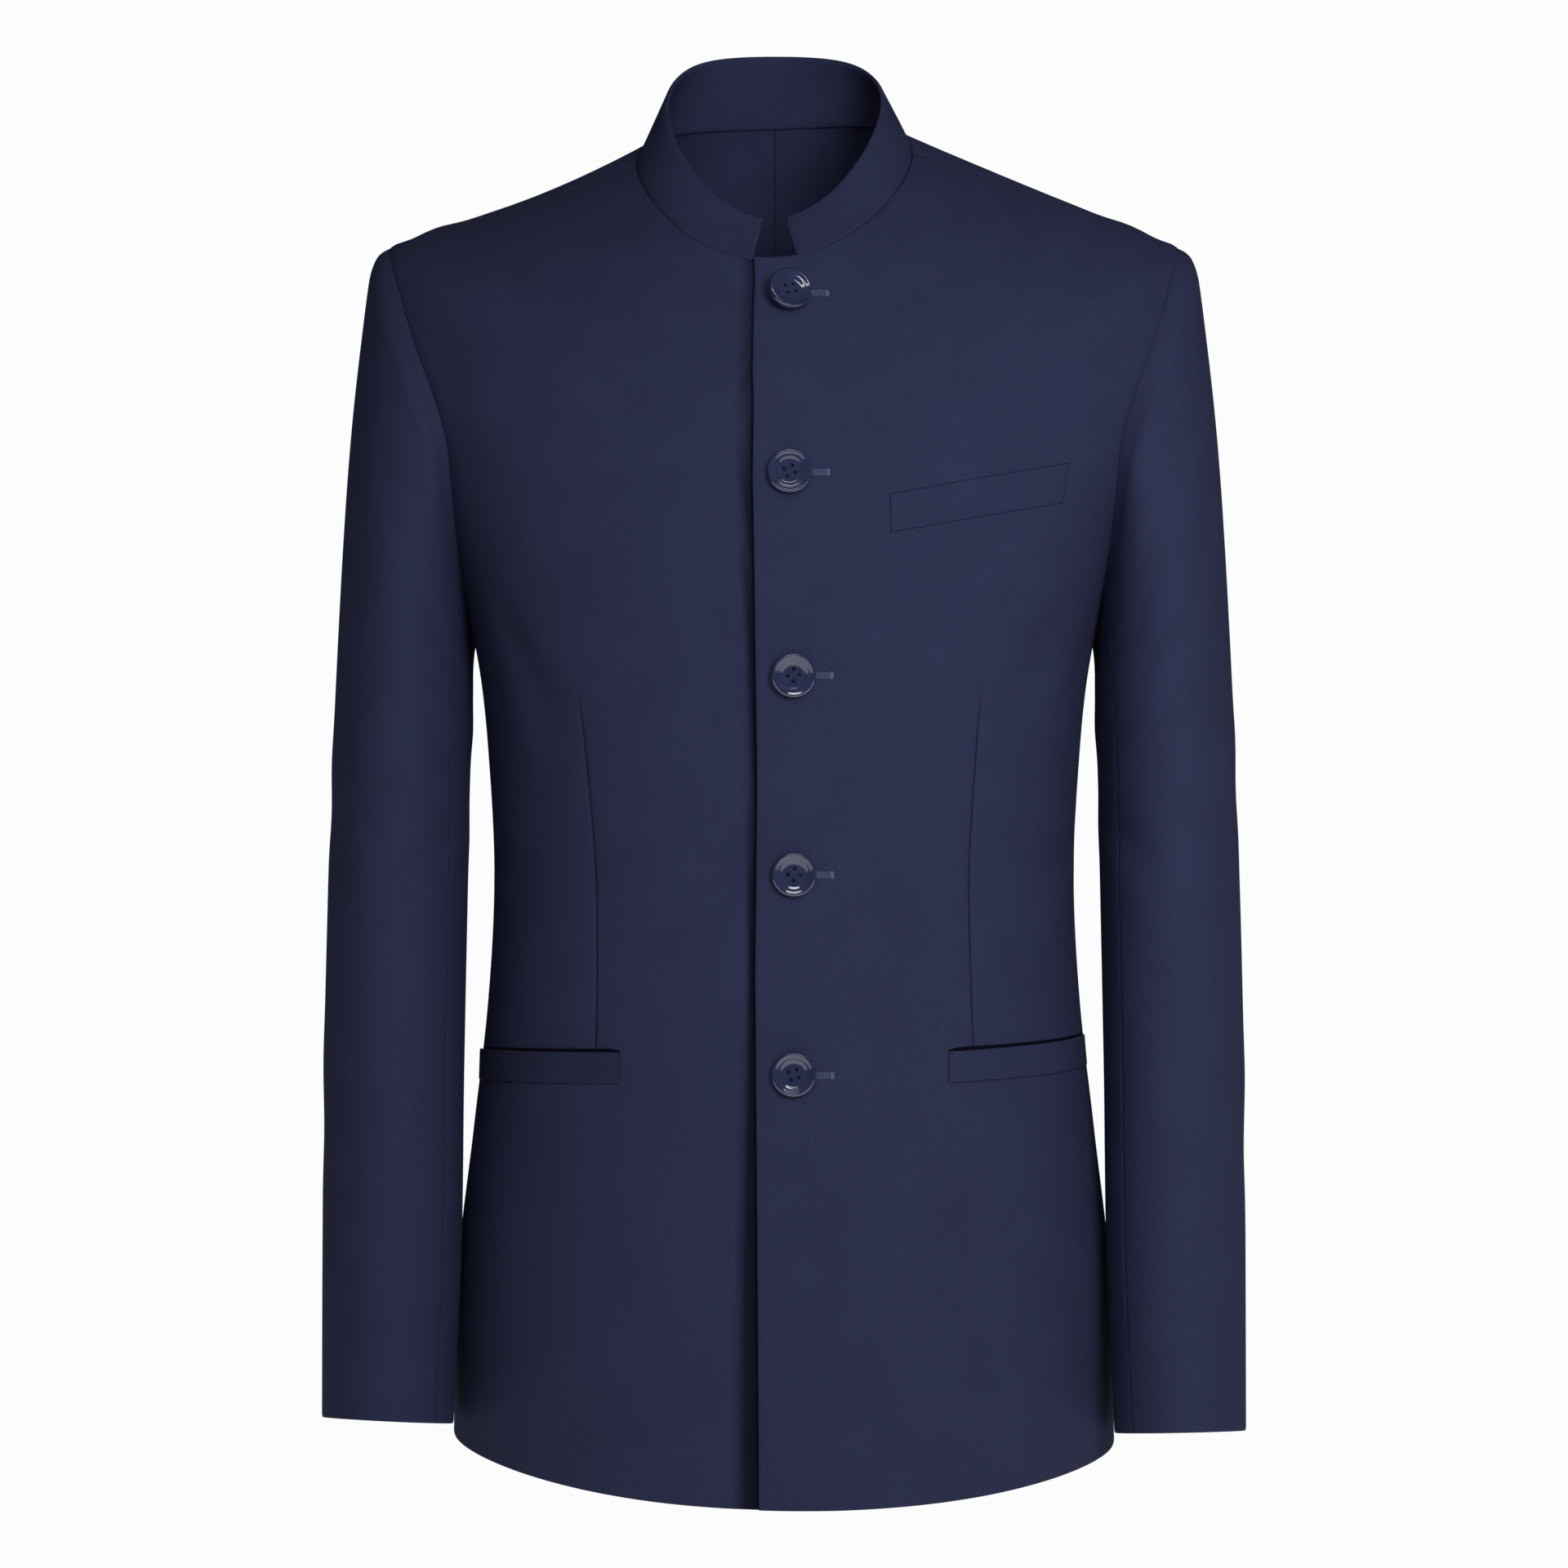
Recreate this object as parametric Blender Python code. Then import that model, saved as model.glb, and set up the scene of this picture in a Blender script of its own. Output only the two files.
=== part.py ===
"""A men's mao jacket, filled out as worn but empty, buttoned, with its sleeves hanging.

The wearer faces -Y, +Z is up, and +X is the wearer's left. The origin lies on the body's middle plane
at the height of the neck points, between the shoulder seams, where the wearer's shoulders carry it.
Sizes below are in millimetres; the meshes are in metres.
"""

import math
from collections import namedtuple

import bpy
from mathutils import Quaternion, Vector

METRE = 0.001

# Cloth and seams
WALL = 2.0
COLLAR_WALL = 3.0
SEAM_GAP = 0.3

# Where the panels meet, counted round the body: 0 at centre front, 1 at the side, 2 at centre back
FRONT_SEAM_TURN = 0.88
SHOULDER_TURN = 1.0
BACK_SEAM_TURN = 1.34
CENTRE_BACK_TURN = 2.0

# Front closure: how far each front runs past the centre line, and the step between the two layers
LEFT_LAP = 13.0
RIGHT_LAP = 24.0
NECK_LAP = 11.0
LAP_RISE = 1.3
LAP_FADE_START = 26.0
LAP_FADE_END = 70.0
COLLAR_END = 12.0
COLLAR_END_TOP = 6.0
NECK_LEAN = -5.2
NECK_ROLL = 0.042
HEM_ROLL = -0.015

# Armhole: its lowest station, and how far it reaches in turns to the front and to the back
ARMHOLE_LOW = 449.0
ARMHOLE_FORWARD = 0.345
ARMHOLE_SLANT = 0.4  # how much further forward its upper half goes than its lower one
ARMHOLE_BACKWARD = 0.35
ARMHOLE_DRIFT = 0.028

# Each section is one ring round the body, from the hem up over the shoulders to the neck seam.
# The station is the way up from the hem along the side and the shoulder; "full" is how square a quarter is.
Section = namedtuple(
    "Section",
    "station half_width side_y front_y back_y front_z side_z back_z front_full side_full back_full",
)
BODY = (
    Section(0, 181.8, 0, -141, 128, -735, -710, -717, 0.61, 0.52, 0.64),
    Section(90, 179.5, 0, -138, 129, -631, -620, -624, 0.63, 0.58, 0.65),
    Section(170, 170.5, 0, -132, 123, -546, -540, -542, 0.64, 0.60, 0.66),
    Section(240, 162.8, 0, -127, 109, -473, -470, -471, 0.64, 0.60, 0.64),
    Section(310, 159.5, 0, -125, 98, -400, -400, -400, 0.63, 0.58, 0.62),
    Section(380, 163.0, 0, -129, 104, -330, -330, -328, 0.64, 0.60, 0.62),
    Section(425, 168.2, 2, -133, 112, -287, -285, -280, 0.64, 0.62, 0.62),
    Section(470, 178.0, 4, -135, 118, -250, -242, -236, 0.64, 0.62, 0.62),
    Section(550, 206.0, 7, -134, 121, -205, -160, -175, 0.62, 0.56, 0.61),
    Section(615, 228.0, 8, -130, 119, -168, -95, -128, 0.59, 0.46, 0.60),
    Section(655, 218.0, 9, -125, 113, -143, -54.5, -92, 0.57, 0.40, 0.58),
    Section(700, 175.0, 10, -117, 103, -118, -39.5, -56, 0.56, 0.46, 0.57),
    Section(745, 133.0, 11, -108, 91, -96, -25.5, -20, 0.555, 0.51, 0.56),
    Section(805, 76.0, 8, -96, 72, -69, -5, 18, 0.55, 0.56, 0.56),
)
SHOULDER_STATION = 655.0
NECK_STATION = 805.0
COLLAR_RIM = Section(0, 60.0, 2, -72, 60, -45, 25, 57, 0.45, 0.56, 0.52)

# Each sleeve section is a ring through an outer and an inner point, so that the rings tilt into the armhole
SleeveSection = namedtuple("SleeveSection", "way out_x out_z in_x in_z front_y back_y front_rise")
SLEEVE = (
    SleeveSection(0, 218.0, -54.5, 170.5, -262, -57, 69, 0),
    SleeveSection(8, 224.8, -58.5, 170.8, -267, -61, 71, 0),
    SleeveSection(16, 228.3, -65.5, 171.0, -271, -65, 73, 0),
    SleeveSection(25, 230.0, -73.0, 171.2, -275, -67, 75, 0),
    SleeveSection(62, 233.6, -108, 171.5, -284, -72, 77, 0),
    SleeveSection(145, 240.5, -190, 171.5, -310, -76, 73, 0),
    SleeveSection(255, 246.3, -300, 172.8, -352, -76, 62, 0),
    SleeveSection(355, 249.5, -400, 173.6, -418, -79, 46, 0),
    SleeveSection(455, 250.8, -500, 174.6, -508, -89, 25, 1),
    SleeveSection(555, 250.6, -600, 175.2, -603, -101, 7, 3),
    SleeveSection(653, 249.8, -697, 178.8, -699.5, -114, -10, 4.8),
)
SLEEVE_LENGTH = 653.0
SLEEVE_SETTLE = 110.0

# Welts: corners as (across, height) on the front seen from the front, or the turn where a wrapped one ends
WELT_WALL = 1.2
CHEST_WELT = ((56.3, -217.9), (149.5, -200.5), (152.5, -178.8), (56.0, -196.9))
HIP_WELT_START = 87.5
HIP_WELT_END_TURN = 0.92
HIP_WELT_HEIGHT = 17.0
HIP_WELT_TOP_LEFT = (-493.5, -488.0)
HIP_WELT_TOP_RIGHT = (-494.0, -496.0)

# Buttons: (across, height, tilt in degrees about the upright, clear of the cloth)
Button = namedtuple("Button", "across height tilt stand_off")
BUTTONS = (
    Button(2.6, -89.5, 16, 2.7),
    Button(3.0, -185.7, 0, 0.5),
    Button(4.8, -293.1, 4, 0.9),
    Button(5.2, -399.0, 0, 0.5),
    Button(5.2, -505.3, -3, 0.8),
)
BUTTON_OUTLINE = ((10.3, 0), (12.0, 1.5), (11.6, 3.1), (10.4, 3.9), (9.0, 3.5), (7.6, 2.5))

# How finely each panel is drawn
SEAM_ROWS = 17
ARMHOLE_ROWS = 10
SHOULDER_ROWS = 6
FRONT_COLUMNS = 12
BACK_COLUMNS = 8
SIDE_COLUMNS = 5
SLEEVE_ROWS = 20
COLLAR_ROWS = 3
WELT_COLUMNS = 9
BUTTON_SEGMENTS = 20

NAVY = (0.016, 0.017, 0.045, 1.0)
BUTTON_NAVY = (0.010, 0.011, 0.020, 1.0)


def spline(table, column, at):
    """A cubic through the column's values, with the slope at each row taken from its neighbours."""
    stations = [row[0] for row in table]
    values = [getattr(row, column) for row in table]
    last = len(table) - 1
    i = max(0, min(last - 1, sum(station <= at for station in stations) - 1))

    def slope(k):
        low, high = max(0, k - 1), min(last, k + 1)
        return (values[high] - values[low]) / (stations[high] - stations[low])

    span = stations[i + 1] - stations[i]
    t = (at - stations[i]) / span
    start, end = values[i], values[i + 1]
    rise_start, rise_end = slope(i) * span, slope(i + 1) * span
    return (
        start * (2 * t**3 - 3 * t**2 + 1)
        + rise_start * (t**3 - 2 * t**2 + t)
        + end * (3 * t**2 - 2 * t**3)
        + rise_end * (t**3 - t**2)
    )


def body_section(station):
    """The ring at a station, every size read off the table's curves."""
    return Section(station, *(spline(BODY, name, station) for name in Section._fields[1:]))


def bezier(t, start, first, second, end):
    return start * (1 - t) ** 3 + 3 * first * t * (1 - t) ** 2 + 3 * second * t * t * (1 - t) + end * t**3


def ring_point(ring, turn):
    """A point of a ring, at a turn from -1 (past centre front) to 2 (centre back), on the +X side."""
    if turn < 0:
        point = ring_point(ring, -turn)
        return Vector((-point.x, point.y, point.z))
    wide = ring.half_width
    if turn <= 1:
        part, full, depth = 1 - turn, ring.front_full, ring.front_y - ring.side_y
    else:
        part, full, depth = turn - 1, ring.back_full, ring.back_y - ring.side_y
    x = bezier(part, wide, wide, full * wide, 0)
    y = ring.side_y + bezier(part, 0, ring.side_full * depth, depth, depth)
    middle = (ring.front_z + ring.back_z) / 4 + ring.side_z / 2
    lean = (ring.front_z - ring.back_z) / 2
    saddle = middle - ring.side_z
    angle = turn * math.pi / 2
    z = middle + lean * math.cos(angle) + saddle * math.cos(2 * angle)
    return Vector((x, y, z))


def body_point(turn, station):
    return ring_point(body_section(station), turn)


def body_normal(turn, station):
    """The outward direction of the body's surface, from points just round it."""
    small_turn, small_way = 0.004, 1.0
    low, high = max(0, station - small_way), min(NECK_STATION, station + small_way)
    round_it = body_point(turn + small_turn, station) - body_point(turn - small_turn, station)
    up_it = body_point(turn, high) - body_point(turn, low)
    return round_it.cross(up_it).normalized()


def smooth_step(value, low, high):
    t = max(0.0, min(1.0, (value - low) / (high - low)))
    return t * t * (3 - 2 * t)


def turn_at(across, station):
    """The turn of a point this far across from the ring's centre line, near centre front."""
    ring = body_section(station)
    return across / (3 * ring.front_full * ring.half_width)


def seam_turn(turn, station, side):
    """A turn drawn in from a seam by half the gap, towards the side that the panel lies on."""
    speed = (body_point(turn + 0.01, station) - body_point(turn - 0.01, station)).length / 0.02
    return turn + side * SEAM_GAP / 2 / speed


def find_on_body(first_guess, error):
    """The (turn, station) where both of the error's values vanish, by Newton's method."""
    turn, station = first_guess
    for _ in range(30):
        here = error(body_point(turn, station))
        by_turn = [(a - b) / 0.001 for a, b in zip(error(body_point(turn + 0.001, station)), here)]
        by_way = [(a - b) / 0.1 for a, b in zip(error(body_point(turn, station + 0.1)), here)]
        spread = by_turn[0] * by_way[1] - by_turn[1] * by_way[0]
        turn_step = (here[0] * by_way[1] - here[1] * by_way[0]) / spread
        way_step = (by_turn[0] * here[1] - by_turn[1] * here[0]) / spread
        turn -= max(-0.1, min(0.1, turn_step))
        station -= max(-20.0, min(20.0, way_step))
    return turn, station


def armhole_place(clock):
    """The armhole's edge as (turn, station); clock 0 is the shoulder, 90 the front and 180 the underarm."""
    angle = math.radians(clock)
    slant = 1 + ARMHOLE_SLANT * math.cos(angle)
    reach = ARMHOLE_FORWARD * slant if math.sin(angle) > 0 else ARMHOLE_BACKWARD
    turn = SHOULDER_TURN - reach * math.sin(angle) + ARMHOLE_DRIFT * (1 - math.cos(angle)) / 2
    middle, half = (SHOULDER_STATION + ARMHOLE_LOW) / 2, (SHOULDER_STATION - ARMHOLE_LOW) / 2
    return turn, middle + half * math.cos(angle)


def armhole_clock_at_turn(turn, low, high):
    """The clock where the armhole's lower branch crosses a seam, by halving."""
    rising = armhole_place(high)[0] > armhole_place(low)[0]
    for _ in range(40):
        middle = (low + high) / 2
        if (armhole_place(middle)[0] < turn) == rising:
            low = middle
        else:
            high = middle
    return low


def spread_over(start, end, count):
    return [start + (end - start) * i / (count - 1) for i in range(count)]


FRONT_CLOCK = armhole_clock_at_turn(FRONT_SEAM_TURN, 100, 178)
BACK_CLOCK = armhole_clock_at_turn(BACK_SEAM_TURN, 182, 260)
FRONT_CLOCKS = spread_over(FRONT_CLOCK, 0, ARMHOLE_ROWS)
UNDER_CLOCKS = spread_over(FRONT_CLOCK, BACK_CLOCK, SIDE_COLUMNS)
BACK_CLOCKS = spread_over(BACK_CLOCK, 360, ARMHOLE_ROWS)
FRONT_SEAM_TOP = armhole_place(FRONT_CLOCK)[1]
BACK_SEAM_TOP = armhole_place(BACK_CLOCK)[1]


def side_line(seam, seam_top, clocks, side):
    """A panel's outer edge as (turn, station): up the seam, round the armhole and along the shoulder."""
    line = [(seam_turn(seam, station, side), station) for station in spread_over(0, seam_top, SEAM_ROWS)]
    line += [armhole_place(clock) for clock in clocks[1:-1]]
    shoulder = spread_over(SHOULDER_STATION, NECK_STATION, SHOULDER_ROWS)
    line += [(seam_turn(SHOULDER_TURN, station, side), station) for station in shoulder]
    return line


def front_point(turn, station, rise):
    """A point on a front's outside, with the closure's step: full near centre front, then fading."""
    point = body_point(turn, station)
    lift = rise * (1 - smooth_step(abs(point.x), LAP_FADE_START, LAP_FADE_END))
    return point + body_normal(turn, station) * lift


def front_grid(lap, rise):
    """A front from its free edge to the side seam; its second column is where the collar starts."""
    rows = []
    for end_turn, station in side_line(FRONT_SEAM_TURN, FRONT_SEAM_TOP, FRONT_CLOCKS, -1):
        start = turn_at(COLLAR_END, station)
        edge = lap + (NECK_LAP - lap) * smooth_step(station, 760, NECK_STATION)
        turns = [turn_at(-edge, station)] + spread_over(start, end_turn, FRONT_COLUMNS)
        rows.append([(front_point(turn, station, rise), body_normal(turn, station)) for turn in turns])
    return rows


def back_grid():
    rows = []
    for end_turn, station in side_line(BACK_SEAM_TURN, BACK_SEAM_TOP, BACK_CLOCKS, 1):
        centre = seam_turn(CENTRE_BACK_TURN, station, -1)
        turns = spread_over(end_turn, centre, BACK_COLUMNS)
        rows.append([(body_point(turn, station), body_normal(turn, station)) for turn in turns])
    return rows


def side_grid():
    """The side panel, between the front's and the back's seams and up to the underarm."""
    front_edge = [seam_turn(FRONT_SEAM_TURN, s, 1) for s in spread_over(0, FRONT_SEAM_TOP, SEAM_ROWS)]
    back_edge = [seam_turn(BACK_SEAM_TURN, s, -1) for s in spread_over(0, BACK_SEAM_TOP, SEAM_ROWS)]
    tops = [armhole_place(clock) for clock in UNDER_CLOCKS]
    rows = []
    for i in range(SEAM_ROWS):
        up = i / (SEAM_ROWS - 1)
        row = []
        for j, (top_turn, top_station) in enumerate(tops):
            even = front_edge[i] + (back_edge[i] - front_edge[i]) * j / (SIDE_COLUMNS - 1)
            turn = even + (top_turn - even) * up**2 * (0 < j < SIDE_COLUMNS - 1)
            station = top_station * up
            row.append((body_point(turn, station), body_normal(turn, station)))
        rows.append(row)
    return rows


def sleeve_ring(way, clock):
    """A point of the sleeve's own ring, before its head is drawn to the armhole."""
    out_x, out_z, in_x, in_z, front_y, back_y, front_rise = (
        spline(SLEEVE, name, way) for name in SleeveSection._fields[1:]
    )
    angle = math.radians(clock)
    centre = Vector(((out_x + in_x) / 2, (front_y + back_y) / 2, (out_z + in_z) / 2))
    across = Vector(((out_x - in_x) / 2, 0, (out_z - in_z) / 2))
    deep = Vector((0, (front_y - back_y) / 2, front_rise))
    return centre + across * math.cos(angle) + deep * math.sin(angle)


HEAD = SLEEVE[0]
ARMHOLE_OUTWARD = Vector((HEAD.out_z - HEAD.in_z, 0, HEAD.in_x - HEAD.out_x)).normalized()


def sleeve_point(way, clock):
    """A point of the sleeve, whose head is drawn to the armhole and settles into its own ring below."""
    head = body_point(*armhole_place(clock)) + ARMHOLE_OUTWARD * (SEAM_GAP + 0.1)
    pull = head - sleeve_ring(0, clock)
    return sleeve_ring(way, clock) + pull * (1 - smooth_step(way, 0, SLEEVE_SETTLE))


def sleeve_normal(way, clock):
    low, high = max(0, way - 1), min(SLEEVE_LENGTH, way + 1)
    along = sleeve_point(high, clock) - sleeve_point(low, clock)
    around = sleeve_point(way, clock + 0.5) - sleeve_point(way, clock - 0.5)
    return around.cross(along).normalized()


def sleeve_grid(clocks):
    """One of a sleeve's two panels, its long edges drawn in from the seams by half the gap."""
    rows = []
    for i in range(SLEEVE_ROWS):
        way = SLEEVE_LENGTH * (i / (SLEEVE_ROWS - 1)) ** 1.6
        row = []
        for clock in clocks:
            draw_in = (SEAM_GAP / 2 + 0.1) * ((clock == clocks[0]) - (clock == clocks[-1]))
            around = sleeve_point(way, clock + 0.5) - sleeve_point(way, clock - 0.5)
            row.append((sleeve_point(way, clock) + around.normalized() * draw_in, sleeve_normal(way, clock)))
        rows.append(row)
    return rows


def collar_point(turn, up, rise):
    """A point of the collar's outside, from the neck seam at 0 to the rim at 1."""
    seam = front_point(turn, NECK_STATION, rise) if turn < 1 else body_point(turn, NECK_STATION)
    rim = ring_point(COLLAR_RIM, turn)
    at = seam + (rim - seam) * up
    return at + (rim - seam).normalized() * (SEAM_GAP + 0.2) * (1 - up)


def collar_column(turn, up, rise):
    """A collar point and its normal, at the turn where its column meets the neck seam."""
    seam_end = turn_at(COLLAR_END, NECK_STATION)
    rim_end = COLLAR_END_TOP / (3 * COLLAR_RIM.front_full * COLLAR_RIM.half_width)
    turn += (rim_end - seam_end) * up * max(0, 1 - turn) / (1 - seam_end)
    if up == 0:
        return collar_point(turn, up, rise), body_normal(turn, NECK_STATION)
    step = 0.004
    around = collar_point(turn + step, up, rise) - collar_point(turn - step, up, rise)
    along = collar_point(turn, up + step, rise) - collar_point(turn, up - step, rise)
    return collar_point(turn, up, rise), around.cross(along).normalized()


def collar_grid():
    """The whole collar, from its end on the left front round the back to its end on the right front."""
    turns = spread_over(turn_at(COLLAR_END, NECK_STATION), SHOULDER_TURN, FRONT_COLUMNS)
    turns += spread_over(SHOULDER_TURN, CENTRE_BACK_TURN, BACK_COLUMNS)[1:]
    rows = []
    for i in range(COLLAR_ROWS):
        up = i / (COLLAR_ROWS - 1)
        row = [collar_column(turn, up, LAP_RISE) for turn in turns]
        for turn in turns[-2::-1]:
            point, normal = collar_column(turn, up, -LAP_RISE)
            row.append((point * Vector((-1, 1, 1)), normal * Vector((-1, 1, 1))))
        rows.append(row)
    return rows


def front_place(across, height):
    """Where a front has this distance across and this height, as (turn, station)."""
    guess = (across / 330, (height + 733) * 0.98)
    return find_on_body(guess, lambda point: (point.x - across, point.z - height))


def on_cloth(turn, station, rise):
    """A point of a welt's outside, lying on a front, with its normal."""
    normal = body_normal(turn, station)
    return front_point(turn, station, rise) + normal * (SEAM_GAP + WELT_WALL), normal


def chest_welt_grid():
    low_in, low_out, high_out, high_in = (Vector(corner) for corner in CHEST_WELT)
    rows = []
    for up in spread_over(0, 1, 3):
        ends = low_in.lerp(high_in, up), low_out.lerp(high_out, up)
        row = []
        for share in spread_over(0, 1, WELT_COLUMNS):
            across, height = ends[0].lerp(ends[1], share)
            row.append(on_cloth(*front_place(across, height), LAP_RISE))
        rows.append(row)
    return rows


def hip_welt_grid(top_start, top_end):
    """A hip pocket's welt, from its front end round to the side."""
    rows = []
    for up in spread_over(0, 1, 3):
        drop = HIP_WELT_HEIGHT * (1 - up)
        start_turn = front_place(HIP_WELT_START, top_start - drop)[0]
        row = []
        for share in spread_over(0, 1, WELT_COLUMNS + 2):
            turn = start_turn + (HIP_WELT_END_TURN - start_turn) * share
            height = top_start + (top_end - top_start) * share - drop
            station = station_at(turn, height)
            row.append(on_cloth(turn, station, 0))
        rows.append(row)
    return rows


def station_at(turn, height):
    """The station where the body's surface at a turn has a height, by halving."""
    low, high = 0.0, NECK_STATION
    for _ in range(40):
        middle = (low + high) / 2
        if body_point(turn, middle).z < height:
            low = middle
        else:
            high = middle
    return low


def dressed(point):
    """Where a point lies as the jacket is dressed: the neck leans a little, its left side the higher."""
    share = (1 - smooth_step(abs(point.x), 76, 218)) * smooth_step(point.z, -160, -60)
    roll = NECK_ROLL * share * (1 - smooth_step(point.z, 5, 60)) + HEM_ROLL * smooth_step(-point.z, 500, 720)
    return point + Vector((NECK_LEAN * share, 0, roll * point.x))


def make_wall(name, rows, wall, material, mirrored=False):
    """A closed cloth wall from a grid of (outer point, outward normal), thickened inwards."""
    height, width = len(rows), len(rows[0])
    flip = Vector((-1 if mirrored else 1, 1, 1))
    points = []
    for inset in (0, wall):
        for row in rows:
            points += [dressed((point - normal * inset) * flip) * METRE for point, normal in row]
    inner = height * width

    def at(i, j):
        return i * width + j

    faces = []
    for i in range(height - 1):
        for j in range(width - 1):
            quad = (at(i, j), at(i, j + 1), at(i + 1, j + 1), at(i + 1, j))
            faces.append(quad)
            faces.append(tuple(inner + k for k in reversed(quad)))
    edge = [at(0, j) for j in range(width)]
    edge += [at(i, width - 1) for i in range(1, height)]
    edge += [at(height - 1, j) for j in range(width - 2, -1, -1)]
    edge += [at(i, 0) for i in range(height - 2, 0, -1)]
    for a, b in zip(edge, edge[1:] + edge[:1]):
        faces.append((b, a, inner + a, inner + b))
    if mirrored:
        faces = [tuple(reversed(face)) for face in faces]
    return add_object(name, points, faces, material)


def make_button(name, button, material):
    """A dished button, its back just clear of the front, turned by its tilt."""
    lean = NECK_LEAN * smooth_step(button.height, -160, -60)
    turn, station = front_place(button.across - lean, button.height)
    facing = body_normal(turn, station)
    middle = dressed(front_point(turn, station, LAP_RISE)) + facing * button.stand_off
    facing.rotate(Quaternion((0, 0, 1), math.radians(button.tilt)))
    turned = facing.to_track_quat("Z", "Y")
    spins = [2 * math.pi * k / BUTTON_SEGMENTS for k in range(BUTTON_SEGMENTS)]
    local = [Vector((0, 0, BUTTON_OUTLINE[0][1])), Vector((0, 0, BUTTON_OUTLINE[-1][1]))]
    for radius, height in BUTTON_OUTLINE:
        local += [Vector((radius * math.cos(spin), radius * math.sin(spin), height)) for spin in spins]
    faces = []
    last = len(BUTTON_OUTLINE) - 1
    for k in range(BUTTON_SEGMENTS):
        after = (k + 1) % BUTTON_SEGMENTS
        faces.append((0, 2 + after, 2 + k))
        faces.append((1, 2 + last * BUTTON_SEGMENTS + k, 2 + last * BUTTON_SEGMENTS + after))
        for ring in range(last):
            low, high = 2 + ring * BUTTON_SEGMENTS, 2 + (ring + 1) * BUTTON_SEGMENTS
            faces.append((low + k, low + after, high + after, high + k))
    points = [(middle + turned @ point) * METRE for point in local]
    return add_object(name, points, faces, material)


def add_object(name, points, faces, material):
    mesh = bpy.data.meshes.new(name)
    mesh.from_pydata(points, [], faces)
    mesh.materials.append(material)
    mesh.shade_smooth()
    mesh.set_sharp_from_angle(angle=math.radians(40))
    obj = bpy.data.objects.new(name, mesh)
    bpy.context.scene.collection.objects.link(obj)
    return obj


def make_material(name, colour, roughness):
    material = bpy.data.materials.new(name)
    material.use_nodes = True
    shader = material.node_tree.nodes["Principled BSDF"]
    shader.inputs["Base Color"].default_value = colour
    shader.inputs["Roughness"].default_value = roughness
    return material


def main():
    for obj in list(bpy.data.objects):
        bpy.data.objects.remove(obj)
    cloth = make_material("navy_worsted", NAVY, 0.8)
    welt_cloth = make_material("navy_worsted_welt", NAVY, 0.8)
    horn = make_material("dark_button", BUTTON_NAVY, 0.25)

    top_clocks = [clock - 360 for clock in BACK_CLOCKS[1:-1]] + FRONT_CLOCKS[::-1]
    under_clocks = UNDER_CLOCKS + BACK_CLOCKS[1:2]
    for side, mirrored in (("left", False), ("right", True)):
        lap = RIGHT_LAP if mirrored else LEFT_LAP
        rise = -LAP_RISE if mirrored else LAP_RISE
        make_wall(f"front_{side}", front_grid(lap, rise), WALL, cloth, mirrored)
        make_wall(f"side_{side}", side_grid(), WALL, cloth, mirrored)
        make_wall(f"back_{side}", back_grid(), WALL, cloth, mirrored)
        make_wall(f"sleeve_top_{side}", sleeve_grid(top_clocks), WALL, cloth, mirrored)
        make_wall(f"sleeve_under_{side}", sleeve_grid(under_clocks), WALL, cloth, mirrored)
        welt_top = HIP_WELT_TOP_RIGHT if mirrored else HIP_WELT_TOP_LEFT
        make_wall(f"hip_welt_{side}", hip_welt_grid(*welt_top), WELT_WALL, welt_cloth, mirrored)
    make_wall("collar", collar_grid(), COLLAR_WALL, cloth)
    make_wall("chest_welt", chest_welt_grid(), WELT_WALL, welt_cloth)
    for number, button in enumerate(BUTTONS, 1):
        make_button(f"button_{number}", button, horn)


main()
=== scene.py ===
import math

import bpy
import numpy as np
from mathutils import Matrix, Vector


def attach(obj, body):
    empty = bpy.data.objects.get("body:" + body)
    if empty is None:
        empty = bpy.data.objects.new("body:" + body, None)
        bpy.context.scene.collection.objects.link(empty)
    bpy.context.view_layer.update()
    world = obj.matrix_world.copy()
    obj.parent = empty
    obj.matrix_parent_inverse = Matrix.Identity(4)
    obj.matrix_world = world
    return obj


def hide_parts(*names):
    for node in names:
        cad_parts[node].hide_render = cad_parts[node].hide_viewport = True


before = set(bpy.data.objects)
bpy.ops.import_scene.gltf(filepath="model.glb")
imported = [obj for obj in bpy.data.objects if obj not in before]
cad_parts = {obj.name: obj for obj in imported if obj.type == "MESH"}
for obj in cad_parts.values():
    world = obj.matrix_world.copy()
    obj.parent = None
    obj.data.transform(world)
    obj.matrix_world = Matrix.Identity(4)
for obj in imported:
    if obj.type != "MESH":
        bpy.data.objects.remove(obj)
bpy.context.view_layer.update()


# Studio. The camera stands level with the waist, as far ahead as the curves of the hem and neck opening show. Two
# softboxes light the front, a strip overhead gives the buttons their gleam, and three light the back. The room's
# white shows behind the jacket but hardly lights it, so that the cloth darkens as it turns away.
CAMERA_PLACE = (0, -3.4, -0.351)
FILM_WIDTH, LENS = 36, 141.67  # millimetres, which frame the jacket as in the photograph
bpy.ops.object.camera_add(location=CAMERA_PLACE, rotation=(math.radians(90), 0, 0))
camera = bpy.context.object
camera.data.sensor_width = FILM_WIDTH
camera.data.lens = LENS
bpy.context.scene.camera = camera
bpy.context.scene.view_settings.view_transform = "Standard"


def srgb(code):
    """A colour written as six hex digits, as the linear values that a socket takes."""
    values = [int(code[i : i + 2], 16) / 255 for i in (0, 2, 4)]
    return tuple(v / 12.92 if v <= 0.04045 else ((v + 0.055) / 1.055) ** 2.4 for v in values) + (1.0,)


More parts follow.
